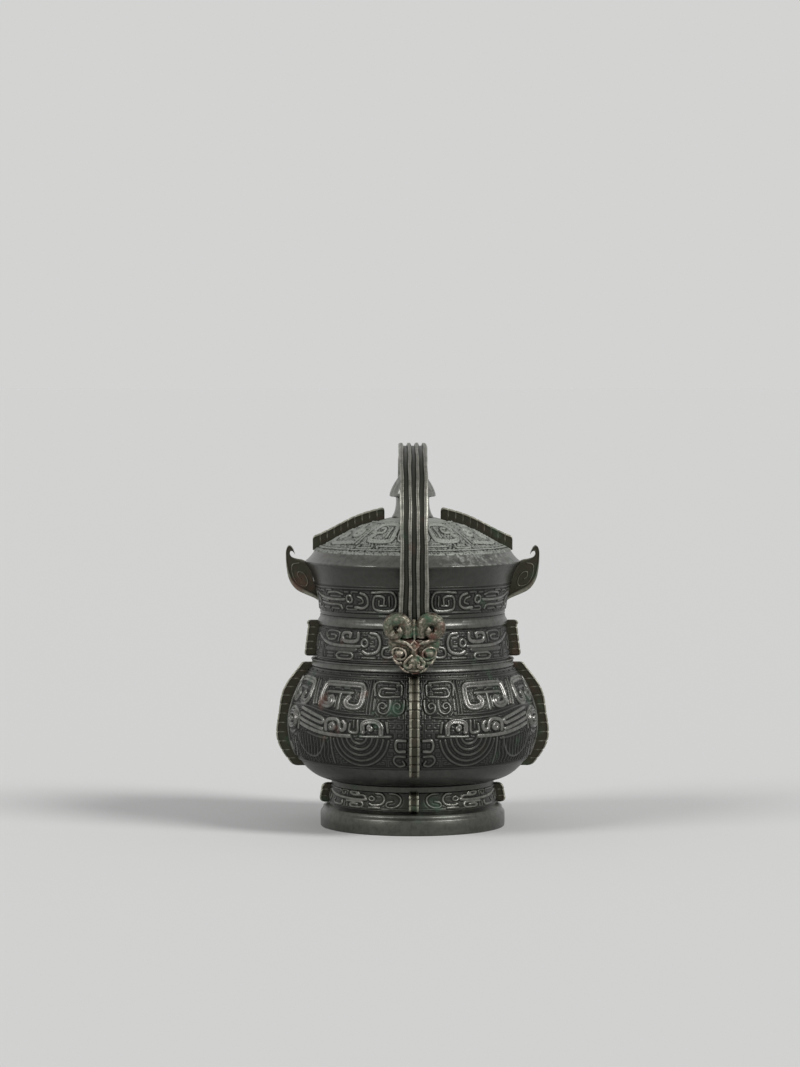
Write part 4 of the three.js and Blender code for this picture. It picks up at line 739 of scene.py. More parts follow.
RIM_EDGE = [(93.7, 230.2), (93.75, 231.0)]
DOME_MIDDLE = [(0.4, 268.8)]
sunk_skirt = [(out - BAND_SINK * float(SKIRT_LOW < up < SKIRT_HIGH), up) for out, up in SKIRT_LINE]
sunk_dome = [(out, up - BAND_SINK * float(DOME_SUNK_IN < out < DOME_SUNK_OUT)) for out, up in DOME_LINE]
LID_PROFILE = LID_INSIDE + sunk_skirt[1:] + RIM_EDGE + list(map(tuple, SHOULDER_LINE))
LID_PROFILE += sunk_dome + DOME_MIDDLE
SKIRT_BAND = [(out, up) for out, up in SKIRT_LINE if SKIRT_LOW - SKIRT_LAP < up < SKIRT_HIGH + SKIRT_LAP]
DOME_BAND = [(86.3, 239.8), (84.9, 241.7)]
DOME_BAND += [(out, up) for out, up in DOME_LINE if DOME_BAND_IN < out < DOME_BAND_OUT]
SHOULDER_LOW, SHOULDER_HIGH, SHOULDER_RUB, LID_RUB = 230.5, 243, 0.62, 0.5

# One quarter of the skirt, unrolled: a dragon in thin lines that starts with a squared coil by the bail.
SKIRT_DRAGON = [
    (1.1, 2.0, [(27, 9.6), (27, 15.4), (36, 15.4), (36, 4.6), (18, 4.6), (18, 19.4), (38, 19.4)]),
    (1.0, 1.6, [(22, 8), (22, 16)]),
    (1.0, 1.6, [(31.6, 12), (31.6, 8), (25, 8)]),
    (1.1, 2.2, [(50, 18.6), (44, 16), (43.4, 9), (49, 5.4), (58, 6)]),
    (1.0, 1.6, [(54, 15.4), (49, 13.6), (48.4, 10.4), (53, 9)]),
    (1.3, 1.9, [(67.6, 13), (66.6, 15.2), (64, 16.2), (61.4, 15.2), (60.4, 13), (61.4, 10.8), (64, 9.8),
                (66.6, 10.8), (67.6, 13)]),
    (1.1, 2.4, [(71, 12.4), (90, 12), (112, 14), (126, 17.6), (133, 14), (131.6, 7.6), (125, 5.6),
                (119.6, 8), (121, 12)]),
    (1.0, 1.9, [(72, 16.8), (80, 18.8), (94, 18), (97, 15.6)]),
    (1.0, 1.9, [(113, 8.6), (94, 7.6), (79, 7.6), (74.6, 4.2)]),
    (0.9, 1.5, [(80, 4), (92, 4), (92, 1.8)]),
    (0.9, 1.5, [(97, 4.4), (110, 4.4)]),
    (0.9, 1.5, [(103, 19.4), (112, 19.4), (112, 17.4)]),
    (0.9, 1.4, [(13, 4), (13, 20)]),
    (0.9, 1.4, [(53, 19.6), (60, 19.6), (60, 17.8)]),
    (0.9, 1.4, [(64, 19.4), (69, 19.4)]),
    (0.9, 1.4, [(61, 6.6), (68, 6.6), (68, 3.9), (56, 3.9)]),
    (0.9, 1.4, [(75, 14.9), (92, 14.9)]),
    (0.9, 1.4, [(98, 18.4), (98, 20.2), (88, 20.6)]),
    (0.9, 1.4, [(98, 10.3), (114, 11.4)]),
    (0.9, 1.4, [(116, 19.8), (128, 20.2), (134, 18)]),
    (0.9, 1.4, [(114, 4.4), (124, 3.2), (132, 3.8)]),
    (0.9, 1.4, [(137, 4), (137, 19)]),
    (0.8, 1.3, [(12, 22.6), (75, 22.6), (138, 22.6)]),
    (0.8, 1.3, [(12, 1.8), (70, 1.8)]),
]
# One quarter of the dome, unrolled: millimetres round from the front and up from the dome's edge.
DOME_MASK = [
    (1.4, 5.0, [(53, 29.4), (55.4, 24.6), (52, 20), (44, 18.8), (31, 19), (25.6, 22.4), (25, 34),
                (25.6, 45), (31, 49.8), (44, 50.8), (56, 49), (60.4, 43.6), (60.4, 38)]),
    (1.1, 2.8, [(60, 33.4), (45, 33.4), (43, 38), (46.6, 42), (52, 41)]),
    (1.1, 2.4, [(34, 26), (34, 43)]),
    (1.1, 2.4, [(69, 47), (66, 14)]),
    (1.1, 2.0, [(73.6, 46), (71.4, 14)]),
    (2.0, 2.8, [(92, 31), (89.6, 34.8), (85, 36.2), (80.4, 34.8), (78, 31), (80.4, 27.4), (85, 26),
                (89.6, 27.4), (92, 31)]),
    (2.2, 3.2, [(84, 31), (86, 31)]),
    (1.3, 4.4, [(76, 16), (92, 14), (110, 13), (122, 16), (126.6, 22), (122, 28), (113, 29), (107, 25),
                (112, 21)]),
    (1.3, 4.0, [(97, 33), (101, 41), (113, 46), (128, 42)]),
    (1.1, 2.4, [(132, 36), (134, 20), (130, 10)]),
    (1.0, 2.0, [(10, 45), (18, 43), (18, 24), (12, 18)]),
    (1.0, 2.0, [(12, 11), (36, 11), (36, 7.6)]),
    (1.0, 2.0, [(44, 13), (44, 8), (60, 8), (60, 12)]),
    (0.9, 1.6, [(6, 4), (70, 4), (138, 4)]),
    (0.9, 1.8, [(8, 55), (70, 55), (136, 55)]),
]
# rubbed cast bronze: the smoothest metal of the vessel, with crust only where it has drifted
lid_bronze = patinated_bronze("bronze_lid_rubbed", "3f403c", "8e8e8a", grime_and_shade=0.7, green_share=0.15,
                              red_share=0.05, crust_share=0.08, shine=1.5)
# bronze under a dry crust: pale grey-green, matt and gritty, with dark earth and painted shade in its grooves
dome_bronze = patinated_bronze("bronze_dome_crusted", "868982", "acafa8", grime_and_shade=0.95, green_share=0.05,
                               red_share=0.0, crust_share=1.0, shine=0.4)
lid_rub = [SHOULDER_RUB if SHOULDER_LOW < height < SHOULDER_HIGH else LID_RUB for _, height in LID_PROFILE]
lid = turned_shell("lid_shell_core", LID_PROFILE, lid_rub)
skirt_band = relief_band("lid_dragon_band", SKIRT_BAND, SKIRT_DRAGON, ground=0.65, pitch=6.4, top=1.2,
                         quarters=ALL_ROUND, plain=0.18)
dome_band = relief_band("lid_dome_masks", DOME_BAND, DOME_MASK, ground=0.3, pitch=9.0, top=1.4,
                        quarters=ALL_ROUND, plain=0.36, foot=DOME_FOOT, grain=0.2, shade_line=1.5)
for piece, finish in ((lid, lid_bronze), (skirt_band, wall_bronze), (dome_band, dome_bronze)):
    piece.data.materials.append(finish)
    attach(piece, "lid")
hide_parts("lid_shell")


def points_of(mesh, what="co"):
    # the places of a mesh's points, or their normals
    values = np.empty(len(mesh.vertices) * 3, dtype=np.float32)
    mesh.vertices.foreach_get(what, values)
    return values.reshape(-1, 3)


# the crust runs on past the masks, up to the knob, and has drifted down over the right of the shoulder
CRUST_LOW = 0.2652
DRIFT_START, DRIFT_END, DRIFT_LOW, DRIFT_MOST = -0.01, 0.045, 0.2308, 0.3
lid.data.materials.append(dome_bronze)
for face in lid.data.polygons:
    face.material_index = int(face.center.z > CRUST_LOW)
lid_points = points_of(lid.data)
lid_drift = DRIFT_MOST * soft_step((lid_points[:, 0] - DRIFT_START) / (DRIFT_END - DRIFT_START))
lid_drift = np.where(lid_points[:, 2] > DRIFT_LOW, lid_drift, 0.0)
lid.data.attributes.new("drift", "FLOAT", "POINT").data.foreach_set("value", lid_drift.astype(np.float32))

# Lid knob
# A bronze bud with eight soft ribs on a flaring stem, standing on the middle of the dome. Cast with the lid
# and rubbed bright by hands.
KNOB_STEPS, KNOB_COLUMNS, KNOB_RUB = 5, 192, 0.85
KNOB_PROFILE = smooth_line([
    (18.3, 269.1), (18.0, 270.0), (16.4, 273.0), (15.1, 277.5), (14.6, 282.0), (14.8, 286.4), (17.0, 287.0),
    (19.3, 287.6), (19.5, 289.0), (19.0, 291.4), (16.6, 297.1), (12.4, 304.1), (8.5, 310.0), (4.0, 313.3),
    (0.3, 314.1)], KNOB_STEPS)
BUD_LOW, BUD_FADE = 286.4, 2.0
BUD_RIBS, BUD_RIB_HEIGHT, BUD_RIB_BEND, BUD_RIB_MIDDLE = 8, 0.05, 0.7, 0.35
knob_around = np.arange(KNOB_COLUMNS) * 2 * np.pi / KNOB_COLUMNS
knob_ribs = np.abs(np.cos(BUD_RIBS / 2 * knob_around)) ** BUD_RIB_BEND - BUD_RIB_MIDDLE
bud = soft_step((KNOB_PROFILE[:, 1] - BUD_LOW) / BUD_FADE)[:, None]
knob_out = KNOB_PROFILE[:, :1] * (1 + BUD_RIB_HEIGHT * bud * knob_ribs[None, :])
knob_up = KNOB_PROFILE[:, 1:] + 0 * knob_out
knob_points = np.stack([knob_out * np.sin(knob_around), -knob_out * np.cos(knob_around), knob_up], axis=-1)
knob = skin("lid_bud_knob", knob_points * MILLIMETRE, KNOB_RUB)
knob.data.materials.append(lid_bronze)
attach(knob, "lid")
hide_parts("lid_knob")

# Lid crests
# Four notched bronze fins that lie along the dome, from near the knob to the shoulder, at the front, the
# back and the two sides. They were cast with the lid and have the same section as the vessel's flanges.
CREST_LOWER_END, CREST_UPPER_END = (87.2, 242.4), (24.5, 267.6)
CREST_REACH_LOW, CREST_REACH_HIGH = 11.5, 10.6
CREST_TICKS, CREST_TICK_DEPTH = 9, 0.4
on_dome = [(out, up) for out, up in DOME_LINE if out > CREST_UPPER_END[0]]
crest_path = np.array([CREST_LOWER_END] + on_dome + [CREST_UPPER_END])
crest_reach = np.linspace(CREST_REACH_LOW, CREST_REACH_HIGH, len(crest_path))
for side, direction in SIDE_DIRECTIONS.items():
    stretch = OVAL_DEPTH if side in FRONT_AND_BACK else 1.0
    crest = fin("lid_crest_" + side, crest_path * (stretch, 1.0), (0, 1), crest_reach, direction, CREST_TICKS,
                CREST_TICK_DEPTH)
    crest.data.materials.append(fin_bronze)
    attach(crest, "lid")
    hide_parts("lid_flange_" + side)

# Lid horns
# Two thick hooked bronze plates that stand out from the skirt's sides and curl in to a claw, cast with the
# lid. A raised border runs along the edges, with a spiral on each face.
HORN_HALF, HORN_FACE_SUNK = 5.0, 0.8
HORN_STEPS, HORN_SPACING, HORN_CREASE = 8, 0.6, 40
HORN_OUTER = [
    (82.0, 196.5), (86.0, 199.0), (93.6, 202.2), (100.8, 205.8), (105.6, 211.0), (108.6, 217.5),
    (110.2, 226.8), (110.7, 235.4), (110.5, 240.4), (109.2, 243.8), (107.3, 244.7), (105.4, 243.2),
    (103.8, 240.2), (102.8, 237.0),
]
HORN_INNER = [
    (88.5, 222.0), (92.4, 229.4), (96.0, 232.0), (101.0, 233.0), (105.4, 234.4), (107.2, 237.0),
    (106.8, 239.4), (105.2, 239.8), (103.6, 238.4), (102.8, 237.0),
]
HORN_SPIRAL = [
    (99.0, 229.6), (105.0, 227.6), (104.6, 219.0), (100.0, 211.4), (93.0, 209.4), (91.8, 214.6),
    (95.2, 220.6), (99.6, 221.6), (99.8, 217.6), (96.8, 215.2),
]
# a section runs from the outer edge to the inner one: share of the way, how far the face is sunk, and how
# far it is rubbed
HORN_SECTION = [
    (0.0, 0.9, 0.62), (0.015, 0.3, 0.72), (0.05, 0.0, 0.75), (0.12, 0.0, 0.65), (0.16, 0.5, 0.4),
    (0.2, 0.8, 0.34), (0.5, 0.8, 0.36), (0.85, 0.8, 0.36), (0.95, 0.4, 0.5), (1.0, 1.0, 0.6),
]
BEAD_RADIUS, BEAD_COLUMNS, BEAD_STEPS, BEAD_RUB = 0.6, 8, 6, 0.62


def plate_points(direction, out, level, up):
    # places on a plate that stands out in a direction: distance out, level across its thickness, height
    x = out * direction[0] - level * direction[1]
    y = out * direction[1] + level * direction[0]
    return np.stack([x, y, up], axis=-1)


def joined(name, pieces):
    # several meshes as one piece
    bpy.ops.object.select_all(action="DESELECT")
    for piece in pieces:
        piece.select_set(True)
    bpy.context.view_layer.objects.active = pieces[0]
    bpy.ops.object.join()
    pieces[0].name = name
    pieces[0].data.name = name
    return pieces[0]


outer_out, outer_up, _ = even_profile(smooth_line(HORN_OUTER, HORN_STEPS), HORN_SPACING)
inner_line = smooth_line(HORN_INNER, HORN_STEPS)
inner_way = np.concatenate([[0.0], np.cumsum(np.hypot(*np.diff(inner_line, axis=0).T))])
inner_even = np.linspace(0, inner_way[-1], len(outer_out))
inner_out = np.interp(inner_even, inner_way, inner_line[:, 0])
inner_up = np.interp(inner_even, inner_way, inner_line[:, 1])
inward, sunk, horn_rub = np.array(HORN_SECTION + HORN_SECTION[::-1]).T
horn_level = np.where(np.arange(len(sunk)) < len(HORN_SECTION), HORN_HALF - sunk, sunk - HORN_HALF)
horn_out = outer_out[:, None] + (inner_out - outer_out)[:, None] * inward[None, :]
horn_up = outer_up[:, None] + (inner_up - outer_up)[:, None] * inward[None, :]
spiral_out, spiral_up = np.array(HORN_SPIRAL).T
for side in ("left", "right"):
    direction = SIDE_DIRECTIONS[side]
    plate = skin("horn_plate_" + side, plate_points(direction, horn_out, horn_level, horn_up) * MILLIMETRE,
                 horn_rub, False, HORN_CREASE)
    horn_pieces = [plate]
    for level in (HORN_FACE_SUNK - HORN_HALF, HORN_HALF - HORN_FACE_SUNK):
        spiral = plate_points(direction, spiral_out, level, spiral_up)
        horn_pieces.append(round_bar("horn_spiral", spiral, BEAD_RADIUS, BEAD_COLUMNS, BEAD_STEPS, BEAD_RUB))
    horn = joined("lid_hook_horn_" + side, horn_pieces)
    horn.data.materials.append(fin_bronze)
    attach(horn, "lid")
    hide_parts("lid_horn_" + side)

# Bail strap
# The swing handle: a bronze strap with two thin ribs, a wider rib along each edge and deep grooves between,
# cast as an arch from head to head. The ribs are rubbed pale where a hand takes them.
STRAP_HALF, STRAP_THICK = 12.0, 5.0
ARCH_STEPS, ARCH_SPACING, STRAP_LINES = 12, 0.55, 61
ARCH_HALF = [
    (115.4, 176.0), (117.8, 199.3), (119.3, 222.4), (119.0, 245.4), (114.9, 268.3), (105.3, 288.8),
    (90.5, 305.8), (70.2, 318.8), (46.4, 326.8), (22.6, 330.6),
]
ARCH_TOP = (0.0, 331.7)
arch_corners = [(-out, up) for out, up in ARCH_HALF] + [ARCH_TOP] + ARCH_HALF[::-1]
arch_y, arch_z, arch_way = even_profile(smooth_line(arch_corners, ARCH_STEPS), ARCH_SPACING)
arch_along = np.gradient(np.stack([arch_y, arch_z], axis=-1), axis=0)
arch_along = arch_along / np.linalg.norm(arch_along, axis=1)[:, None]

# the strap's section: ribs and grooves outside, a plain underside with rounded corners
INNER_RIB, EDGE_RIB, RIB_HALF, RIB_SIDE, GROOVE, EDGE_FALL = 3.3, 10.0, 2.1, 1.1, 2.5, 0.9
UNDERSIDE = [(12.0, -1.7), (11.2, -2.5), (0.0, -2.3), (-11.2, -2.5), (-12.0, -1.7)]
rib_across = np.linspace(-STRAP_HALF, STRAP_HALF, STRAP_LINES)
from_middle = np.abs(rib_across)
from_rib = np.minimum(np.abs(from_middle - INNER_RIB), np.clip(EDGE_RIB - from_middle, 0, None))
on_rib = soft_step((RIB_HALF - from_rib) / RIB_SIDE)
edge_fall = EDGE_FALL * np.clip((from_middle - EDGE_RIB) / (STRAP_HALF - EDGE_RIB), 0, 1) ** 2
rib_out = STRAP_THICK / 2 - GROOVE * (1 - on_rib) - edge_fall
under_across, under_out = np.array(UNDERSIDE).T
section_across = np.concatenate([rib_across, under_across])[None, :]
section_out = np.concatenate([rib_out, under_out])[None, :]
section_rib = np.concatenate([on_rib, 0 * under_out])[None, :]

# it widens towards the heads, wavers a little like hand work, and has fine ticks and soft lumps on its ribs
WIDEN_FROM, WIDEN_TO, WIDEN = 242.4, 175.3, 0.12
WAVER, WAVER_WAY, WAVER_ACROSS, SHORT_WAVER, SHORT_WAVER_WAY = 0.22, 12.0, 3.0, 0.6, 5.1
RIB_TICK, RIB_TICK_PITCH = 0.06, 2.2
RIB_LUMP, RIB_LUMP_WAY, RIB_LUMP_START, RIB_LUMP_ACROSS, RIB_LUMP_SHIFT = 0.2, 9.0, 1.0, 2.6, 0.7
way_down = arch_way[:, None]
low_share = np.clip((WIDEN_FROM - arch_z) / (WIDEN_FROM - WIDEN_TO), 0, 1)
strap_across = section_across * (1 + WIDEN * low_share**2)[:, None]
waver = np.sin(way_down / WAVER_WAY + section_across / WAVER_ACROSS)
waver = waver + np.sin(way_down / SHORT_WAVER_WAY) * SHORT_WAVER
strap_across = strap_across + WAVER * waver
rib_ticks = RIB_TICK * np.cos(2 * np.pi * way_down / RIB_TICK_PITCH) * section_rib**2
rib_lumps = RIB_LUMP * np.sin(way_down / RIB_LUMP_WAY + RIB_LUMP_START)
rib_lumps = rib_lumps * np.sin(section_across / RIB_LUMP_ACROSS + RIB_LUMP_SHIFT) * section_rib
strap_out = section_out + rib_ticks + rib_lumps
strap_y = arch_y[:, None] - arch_along[:, 1:] * strap_out
strap_z = arch_z[:, None] + arch_along[:, :1] * strap_out


def rub_highs_and_shade_hollows(piece, rounds, full):
    # what stands proud of its surroundings by "full" millimetres counts as fully worn, and hollows fall to
    # the dark of earth and painted shade; the surroundings are the same points, evened out in a number of
    # rounds
    mesh = piece.data
    points, normals = points_of(mesh), points_of(mesh, "normal")
    count = len(points)
    ends = np.empty(len(mesh.edges) * 2, dtype=np.int32)
    mesh.edges.foreach_get("vertices", ends)
    first, second = ends.reshape(-1, 2).T
    neighbours = np.bincount(first, minlength=count) + np.bincount(second, minlength=count)
    calm = points.astype(float)
    for _ in range(rounds):
        near = [np.bincount(first, calm[second, axis], count) + np.bincount(second, calm[first, axis], count)
                for axis in range(3)]
        calm = (calm + np.stack(near, axis=-1) / np.maximum(neighbours, 1)[:, None]) / 2
    proud = ((points - calm) * normals).sum(axis=1) / MILLIMETRE
    worn_and_shaded = np.clip(0.5 + proud / full / 2, 0, 1)
    mesh.attributes["relief"].data.foreach_set("value", worn_and_shaded.astype(np.float32))


strap = skin("bail_ribbed_strap", np.stack([strap_across, strap_y, strap_z], axis=-1) * MILLIMETRE)
rub_highs_and_shade_hollows(strap, rounds=26, full=1.0)
# bronze polished by hands: grooves darkened by earth and painted shade, pale satin ribs, some red-brown and
# dry crust
bail_bronze = patinated_bronze("bronze_bail_handled", "3f403a", "98978e", grime_and_shade=0.7, green_share=0.15,
                               red_share=0.3, crust_share=0.3, shine=0.9)
strap.data.materials.append(bail_bronze)
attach(strap, "bail")
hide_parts("bail_strap")

# Bail loops
# A loop of round bronze bar on the back of each head, cast with it. It is hooked behind the lug's bow, so
# that the bail can swing to either side.
LOOP_RADIUS = 2.0
LOOP_CORNERS = [
    (-10, -112.0, PIVOT), (-10, -105.0, PIVOT), (-9.3, -102.5, PIVOT), (-7, -101.6, PIVOT),
    (0, -101.6, PIVOT), (7, -101.6, PIVOT), (9.3, -102.5, PIVOT), (10, -105.0, PIVOT), (10, -112.0, PIVOT),
]
for side in FRONT_AND_BACK:
    loop = round_bar("bail_loop_bar_" + side, turned_back(LOOP_CORNERS, side == "back"), LOOP_RADIUS)
    loop.data.materials.append(bail_bronze)
    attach(loop, "bail")
    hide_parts("bail_loop_" + side)

# Bail heads
# Horned animal heads cast in bronze over the strap's two ends: curled ram-like horns, bulging eyes, a lozenge
# on the brow and a snout with curled nostrils. Greener and redder than the rest, because they hang proud.
HEAD_BACK = 109.4
HEAD_BAR_COLUMNS = 16
BALL_ROWS, BALL_COLUMNS, BALL_POLE = 24, 40, 0.02


def ball(name, middle, size):
    # egg-shaped lump by its middle and half sizes, which are given, like all places on a head, as across,
    # up from the pivot, and out from the head's back
    rise = np.linspace(-np.pi / 2 + BALL_POLE, np.pi / 2 - BALL_POLE, BALL_ROWS)[:, None]
    around = (np.arange(BALL_COLUMNS) * 2 * np.pi / BALL_COLUMNS)[None, :]
    x = middle[0] + size[0] * np.cos(rise) * np.cos(around)
    y = -(HEAD_BACK + middle[2]) + size[2] * np.cos(rise) * np.sin(around)
    z = PIVOT + middle[1] + size[1] * np.sin(rise) + 0 * x
    return skin(name, np.stack([x, y, z], axis=-1) * MILLIMETRE)


def head_bar(name, corners, radius):
    # round bar through places on a head
    places = [(across, -(HEAD_BACK + out), PIVOT + up) for across, up, out in corners]
    return round_bar(name, places, radius, HEAD_BAR_COLUMNS)


# the face is a shield: heights with half widths, deeper below the brow and shallower at the chin
FACE_OUTLINE = [
    (-24.6, 3.6), (-22.6, 7.2), (-19.6, 10.6), (-15.5, 14.2), (-10.0, 18.2), (-4.0, 21.2), (2.0, 22.0),
    (6.0, 21.2), (11.0, 19.0), (17.0, 14.0),
]
FACE_SPACING, FACE_COLUMNS, FACE_ROUNDNESS, FACE_SEAT = 0.8, 33, 0.5, 0.4
FACE_DEPTH, UNDER_BROW_DEPTH, BROW_LEVEL, BROW_FADE = 8.0, 4.6, 7.0, 3.0
CHIN_RISE, CHIN_LEVEL, CHIN_FADE = 2.0, -15, 10
face_up, face_half, _ = even_profile(FACE_OUTLINE, FACE_SPACING)
face_bend = np.linspace(0, np.pi, FACE_COLUMNS)
face_swell = np.abs(np.sin(face_bend)) ** FACE_ROUNDNESS
face_deep = FACE_DEPTH + UNDER_BROW_DEPTH * soft_step((BROW_LEVEL - face_up) / BROW_FADE)
face_deep = face_deep - CHIN_RISE * soft_step((CHIN_LEVEL - face_up) / CHIN_FADE)
face_x = face_half[:, None] * np.cos(face_bend)[None, :]
face_y = -(HEAD_BACK + FACE_SEAT + face_deep[:, None] * face_swell[None, :])
face_points = np.stack([face_x, face_y, PIVOT + face_up[:, None] + 0 * face_x], axis=-1)

LOZENGE = [
    (0, 3.6, 15.2), (1.9, 1.6, 15.6), (3.8, -0.4, 15.8), (1.9, -2.4, 16.6), (0, -4.4, 17.2),
    (-1.9, -2.4, 16.6), (-3.8, -0.4, 15.8), (-1.9, 1.6, 15.6), (0, 3.6, 15.2),
]
BROW_RIDGE = [(0, 4.4, 14.6), (0, 10, 15.0), (0, 16, 13.6), (0, 21, 10.0)]
LIP = [(-8.2, -17.8, 14.0), (-4.6, -20.2, 17.4), (0, -21.0, 18.6), (4.6, -20.2, 17.4), (8.2, -17.8, 14.0)]
head_pieces = [
    skin("face", face_points * MILLIMETRE), ball("snout", (0, -15.4, 12.4), (7.6, 8.0, 8.6)),
    ball("bridge", (0, -6, 13.2), (3.6, 9, 4.4)), head_bar("lozenge", LOZENGE, 0.9),
    head_bar("ridge", BROW_RIDGE, [0.9, 1.1, 1.4, 1.8]), head_bar("lip", LIP, 1.3),
]

# features of the right half, as bars with their radii; the left half mirrors them
EYE_ACROSS, EYE_UP, EYE_OUT, EYE_SIZE = 12.6, -7, 13.0, (4.2, 3.6, 4.4)
EYE_RIM_WIDE, EYE_RIM_TALL, EYE_RIM_SLANT, EYE_RIM_OUT, EYE_RIM_BACK = 5.8, 4.8, 1.2, 14.0, 1.6
EYE_RIM_STEPS = 13
EYE_RIM = [(EYE_ACROSS + EYE_RIM_WIDE * math.cos(turn),
            EYE_UP + EYE_RIM_TALL * math.sin(turn) + EYE_RIM_SLANT * math.cos(turn),
            EYE_RIM_OUT - EYE_RIM_BACK * math.cos(turn))
           for turn in np.linspace(0, 2 * np.pi, EYE_RIM_STEPS)]
BROW = [(4.2, 0.6, 15.2), (9, 2.6, 15.0), (15.4, 4.2, 13.4), (20.6, 4.6, 9.8)]
NOSTRIL = [
    (1.6, -8.0, 17.4), (5.2, -11.0, 18.2), (7.8, -15.0, 17.2), (6.6, -18.2, 18.4), (3.6, -17.8, 20.2),
    (3.4, -15.0, 20.8),
]
CHEEK = [(17.8, -10.5, 9.6), (14.2, -14.8, 11.8), (9.8, -14.8, 14)]
JAW = [(12.0, -17.8, 8.6), (8.8, -20.8, 11), (4.4, -23.0, 12.6)]
CURL = [
    (5.8, 6.8, 10.8), (6.2, 14, 12.0), (8.8, 19.2, 12.4), (14.0, 21.5, 12.6), (19.4, 19.6, 12.4),
    (21.2, 14.2, 12.2), (18.8, 9.2, 12.4), (14.2, 8.4, 13.2), (11.6, 11.6, 14.6), (13.8, 14.4, 15.8),
]
HALF_FACE = (
    ("eye_rim", EYE_RIM, 1.0), ("brow", BROW, [1.3, 1.9, 1.9, 1.2]),
    ("nostril", NOSTRIL, [1.0, 1.5, 1.8, 1.7, 1.5, 1.3]), ("cheek", CHEEK, [1.2, 1.8, 1.0]),
    ("jaw", JAW, [1.0, 1.5, 1.0]), ("curl", CURL, [5.0, 5.9, 6.2, 6.2, 5.9, 5.4, 4.7, 3.7, 3.0, 2.4]),
)
for hand in (-1, 1):
    head_pieces.append(ball("eye", (hand * EYE_ACROSS, EYE_UP, EYE_OUT), EYE_SIZE))
    for name, corners, radius in HALF_FACE:
        head_pieces.append(head_bar(name, [(hand * across, up, out) for across, up, out in corners], radius))

# the lumps are run together as one casting, which burial has eaten more than the rest of the vessel: lumps
# and pits 4 mm wide with finer ones on them
CASTING_GRAIN, EASE_ROUNDS, EASE_SHARE = 0.00045, 2, 0.5
PIT_SIZE, PIT_DEPTH, PIT_FALL, PIT_FINER, PIT_OCTAVES = 0.004, 0.00042, 0.8, 2.0, 4
rough_head = joined("head_lumps", head_pieces)
fuse = rough_head.modifiers.new("fuse", "REMESH")
fuse.mode = "VOXEL"
fuse.voxel_size = CASTING_GRAIN
ease = rough_head.modifiers.new("ease", "SMOOTH")
ease.iterations = EASE_ROUNDS
ease.factor = EASE_SHARE
shape = bpy.data.meshes.new_from_object(rough_head.evaluated_get(bpy.context.evaluated_depsgraph_get()))
bpy.data.objects.remove(rough_head)
shape.polygons.foreach_set("use_smooth", np.ones(len(shape.polygons), dtype=bool))
pitted = []
for vertex in shape.vertices:
    pit = noise.fractal(vertex.co / PIT_SIZE, PIT_FALL, PIT_FINER, PIT_OCTAVES)
    pitted.append(vertex.co + vertex.normal * PIT_DEPTH * pit)
shape.vertices.foreach_set("co", np.array(pitted, dtype=np.float32).ravel())
shape.update()

# corroded bronze: patches of green and pinkish brown, 13 mm wide, over pale worn high places, with earth and
# painted shade in the hollows
head_bronze = patinated_bronze("bronze_head_bloomed", "4b4a3e", "b0a698", grime_and_shade=0.75, green_share=0.75,
                               red_share=0.8, crust_share=0.5, shine=0.8, bloom_size=0.013, bloom_cover=0.95)
for side in FRONT_AND_BACK:
    mesh = shape.copy()
    mesh.name = "bail_horned_head_" + side
    mesh.attributes.new("relief", "FLOAT", "POINT")
    if side == "back":
        turned = points_of(mesh) * (-1, -1, 1)
        mesh.vertices.foreach_set("co", turned.astype(np.float32).ravel())
        mesh.update()
    head = bpy.data.objects.new(mesh.name, mesh)
    bpy.context.scene.collection.objects.link(head)
    rub_highs_and_shade_hollows(head, rounds=24, full=0.55)
    mesh.materials.append(head_bronze)
    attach(head, "bail")
    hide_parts("bail_head_" + side)

# Floor, light and camera
# A plain floor in matt pale paint that runs out to the horizon, air of the same tone behind it, two broad
# soft lights from the right and the left, and a long lens a little above the vessel.
FLOOR_REACH, FLOOR_COLOUR, FLOOR_ROUGHNESS = 60, "d9d9d7", 0.9
floor_corners = [(x * FLOOR_REACH, y * FLOOR_REACH, 0) for x, y in ((-1, -1), (1, -1), (1, 1), (-1, 1))]
floor_mesh = bpy.data.meshes.new("studio_floor")
floor_mesh.from_pydata(floor_corners, [], [(0, 1, 2, 3)])
studio_floor = bpy.data.objects.new("studio_floor", floor_mesh)
bpy.context.scene.collection.objects.link(studio_floor)
# matt paint, rolled on: an even pale grey with no gloss
floor_paint = bpy.data.materials.new("matt_floor_paint")
floor_paint.use_nodes = True
paint_inputs = floor_paint.node_tree.nodes["Principled BSDF"].inputs
paint_inputs["Base Color"].default_value = linear(FLOOR_COLOUR)
paint_inputs["Roughness"].default_value = FLOOR_ROUGHNESS
floor_mesh.materials.append(floor_paint)

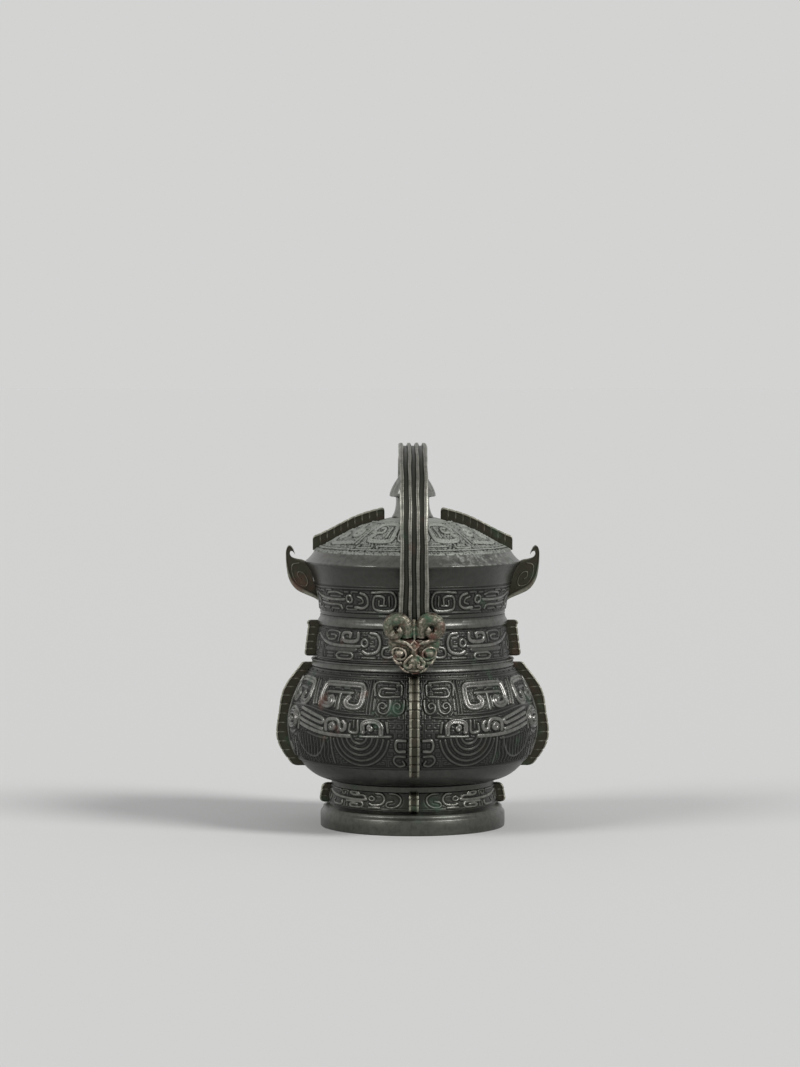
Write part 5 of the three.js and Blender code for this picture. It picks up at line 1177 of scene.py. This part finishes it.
# the backdrop that the camera and the metal see is as pale as the floor; the rest is softer light
world = bpy.data.worlds.new("studio_air")
world.use_nodes = True
air = world.node_tree
air.nodes.clear()
seen_ray = add_node(air, "ShaderNodeLightPath")
seen_or_mirrored = add_node(air, "ShaderNodeMath", {"operation": "MAXIMUM"},
                            {0: seen_ray.outputs["Is Camera Ray"], 1: seen_ray.outputs["Is Glossy Ray"]})
backdrop_ray = add_node(air, "ShaderNodeMath", {"operation": "MAXIMUM"},
                        {0: seen_or_mirrored.outputs[0], 1: seen_ray.outputs["Is Transmission Ray"]})
soft_light = add_node(air, "ShaderNodeBackground", {"Color": linear("dcdddf"), "Strength": 0.45})
backdrop = add_node(air, "ShaderNodeBackground", {"Color": linear("d3d3d2"), "Strength": 1.0})
blend_air = add_node(air, "ShaderNodeMixShader", {},
                     {0: backdrop_ray.outputs[0], 1: soft_light.outputs[0], 2: backdrop.outputs[0]})
add_node(air, "ShaderNodeOutputWorld", {}, {"Surface": blend_air.outputs[0]})
bpy.context.scene.world = world


def broad_light(name, place, strength, spread):
    # far-away light that shines from a place towards the vessel, as soft as its spread in degrees
    lamp = bpy.data.lights.new(name, "SUN")
    lamp.energy = strength
    lamp.angle = math.radians(spread)
    holder = bpy.data.objects.new(name, lamp)
    holder.location = place
    far = math.hypot(*place)
    holder.rotation_euler = (math.acos(place[2] / far), 0.0, math.atan2(place[0], -place[1]))
    bpy.context.scene.collection.objects.link(holder)


broad_light("key_light", (1.4, -0.9, 1.3), strength=1.9, spread=20)
broad_light("fill_light", (-1.4, -0.9, 1.2), strength=1.1, spread=26)

CAMERA_DISTANCE = 3.7
CAMERA_HEIGHT = 0.405
CAMERA_AIM = (-0.011, 0.0, 0.255)
CAMERA_TURN = math.radians(-0.5)
LENS_LENGTH, SENSOR_WIDTH = 143, 36
lens = bpy.data.cameras.new("photo_camera")
lens.lens = LENS_LENGTH
lens.sensor_width = SENSOR_WIDTH
camera = bpy.data.objects.new("photo_camera", lens)
camera.location = (CAMERA_AIM[0] + CAMERA_DISTANCE * math.sin(CAMERA_TURN),
                   CAMERA_AIM[1] - CAMERA_DISTANCE * math.cos(CAMERA_TURN), CAMERA_HEIGHT)
drop = math.atan2(CAMERA_HEIGHT - CAMERA_AIM[2], CAMERA_DISTANCE)
camera.rotation_euler = (math.pi / 2 - drop, 0.0, CAMERA_TURN)
bpy.context.scene.collection.objects.link(camera)
bpy.context.scene.camera = camera
bpy.context.scene.view_settings.view_transform = "Standard"
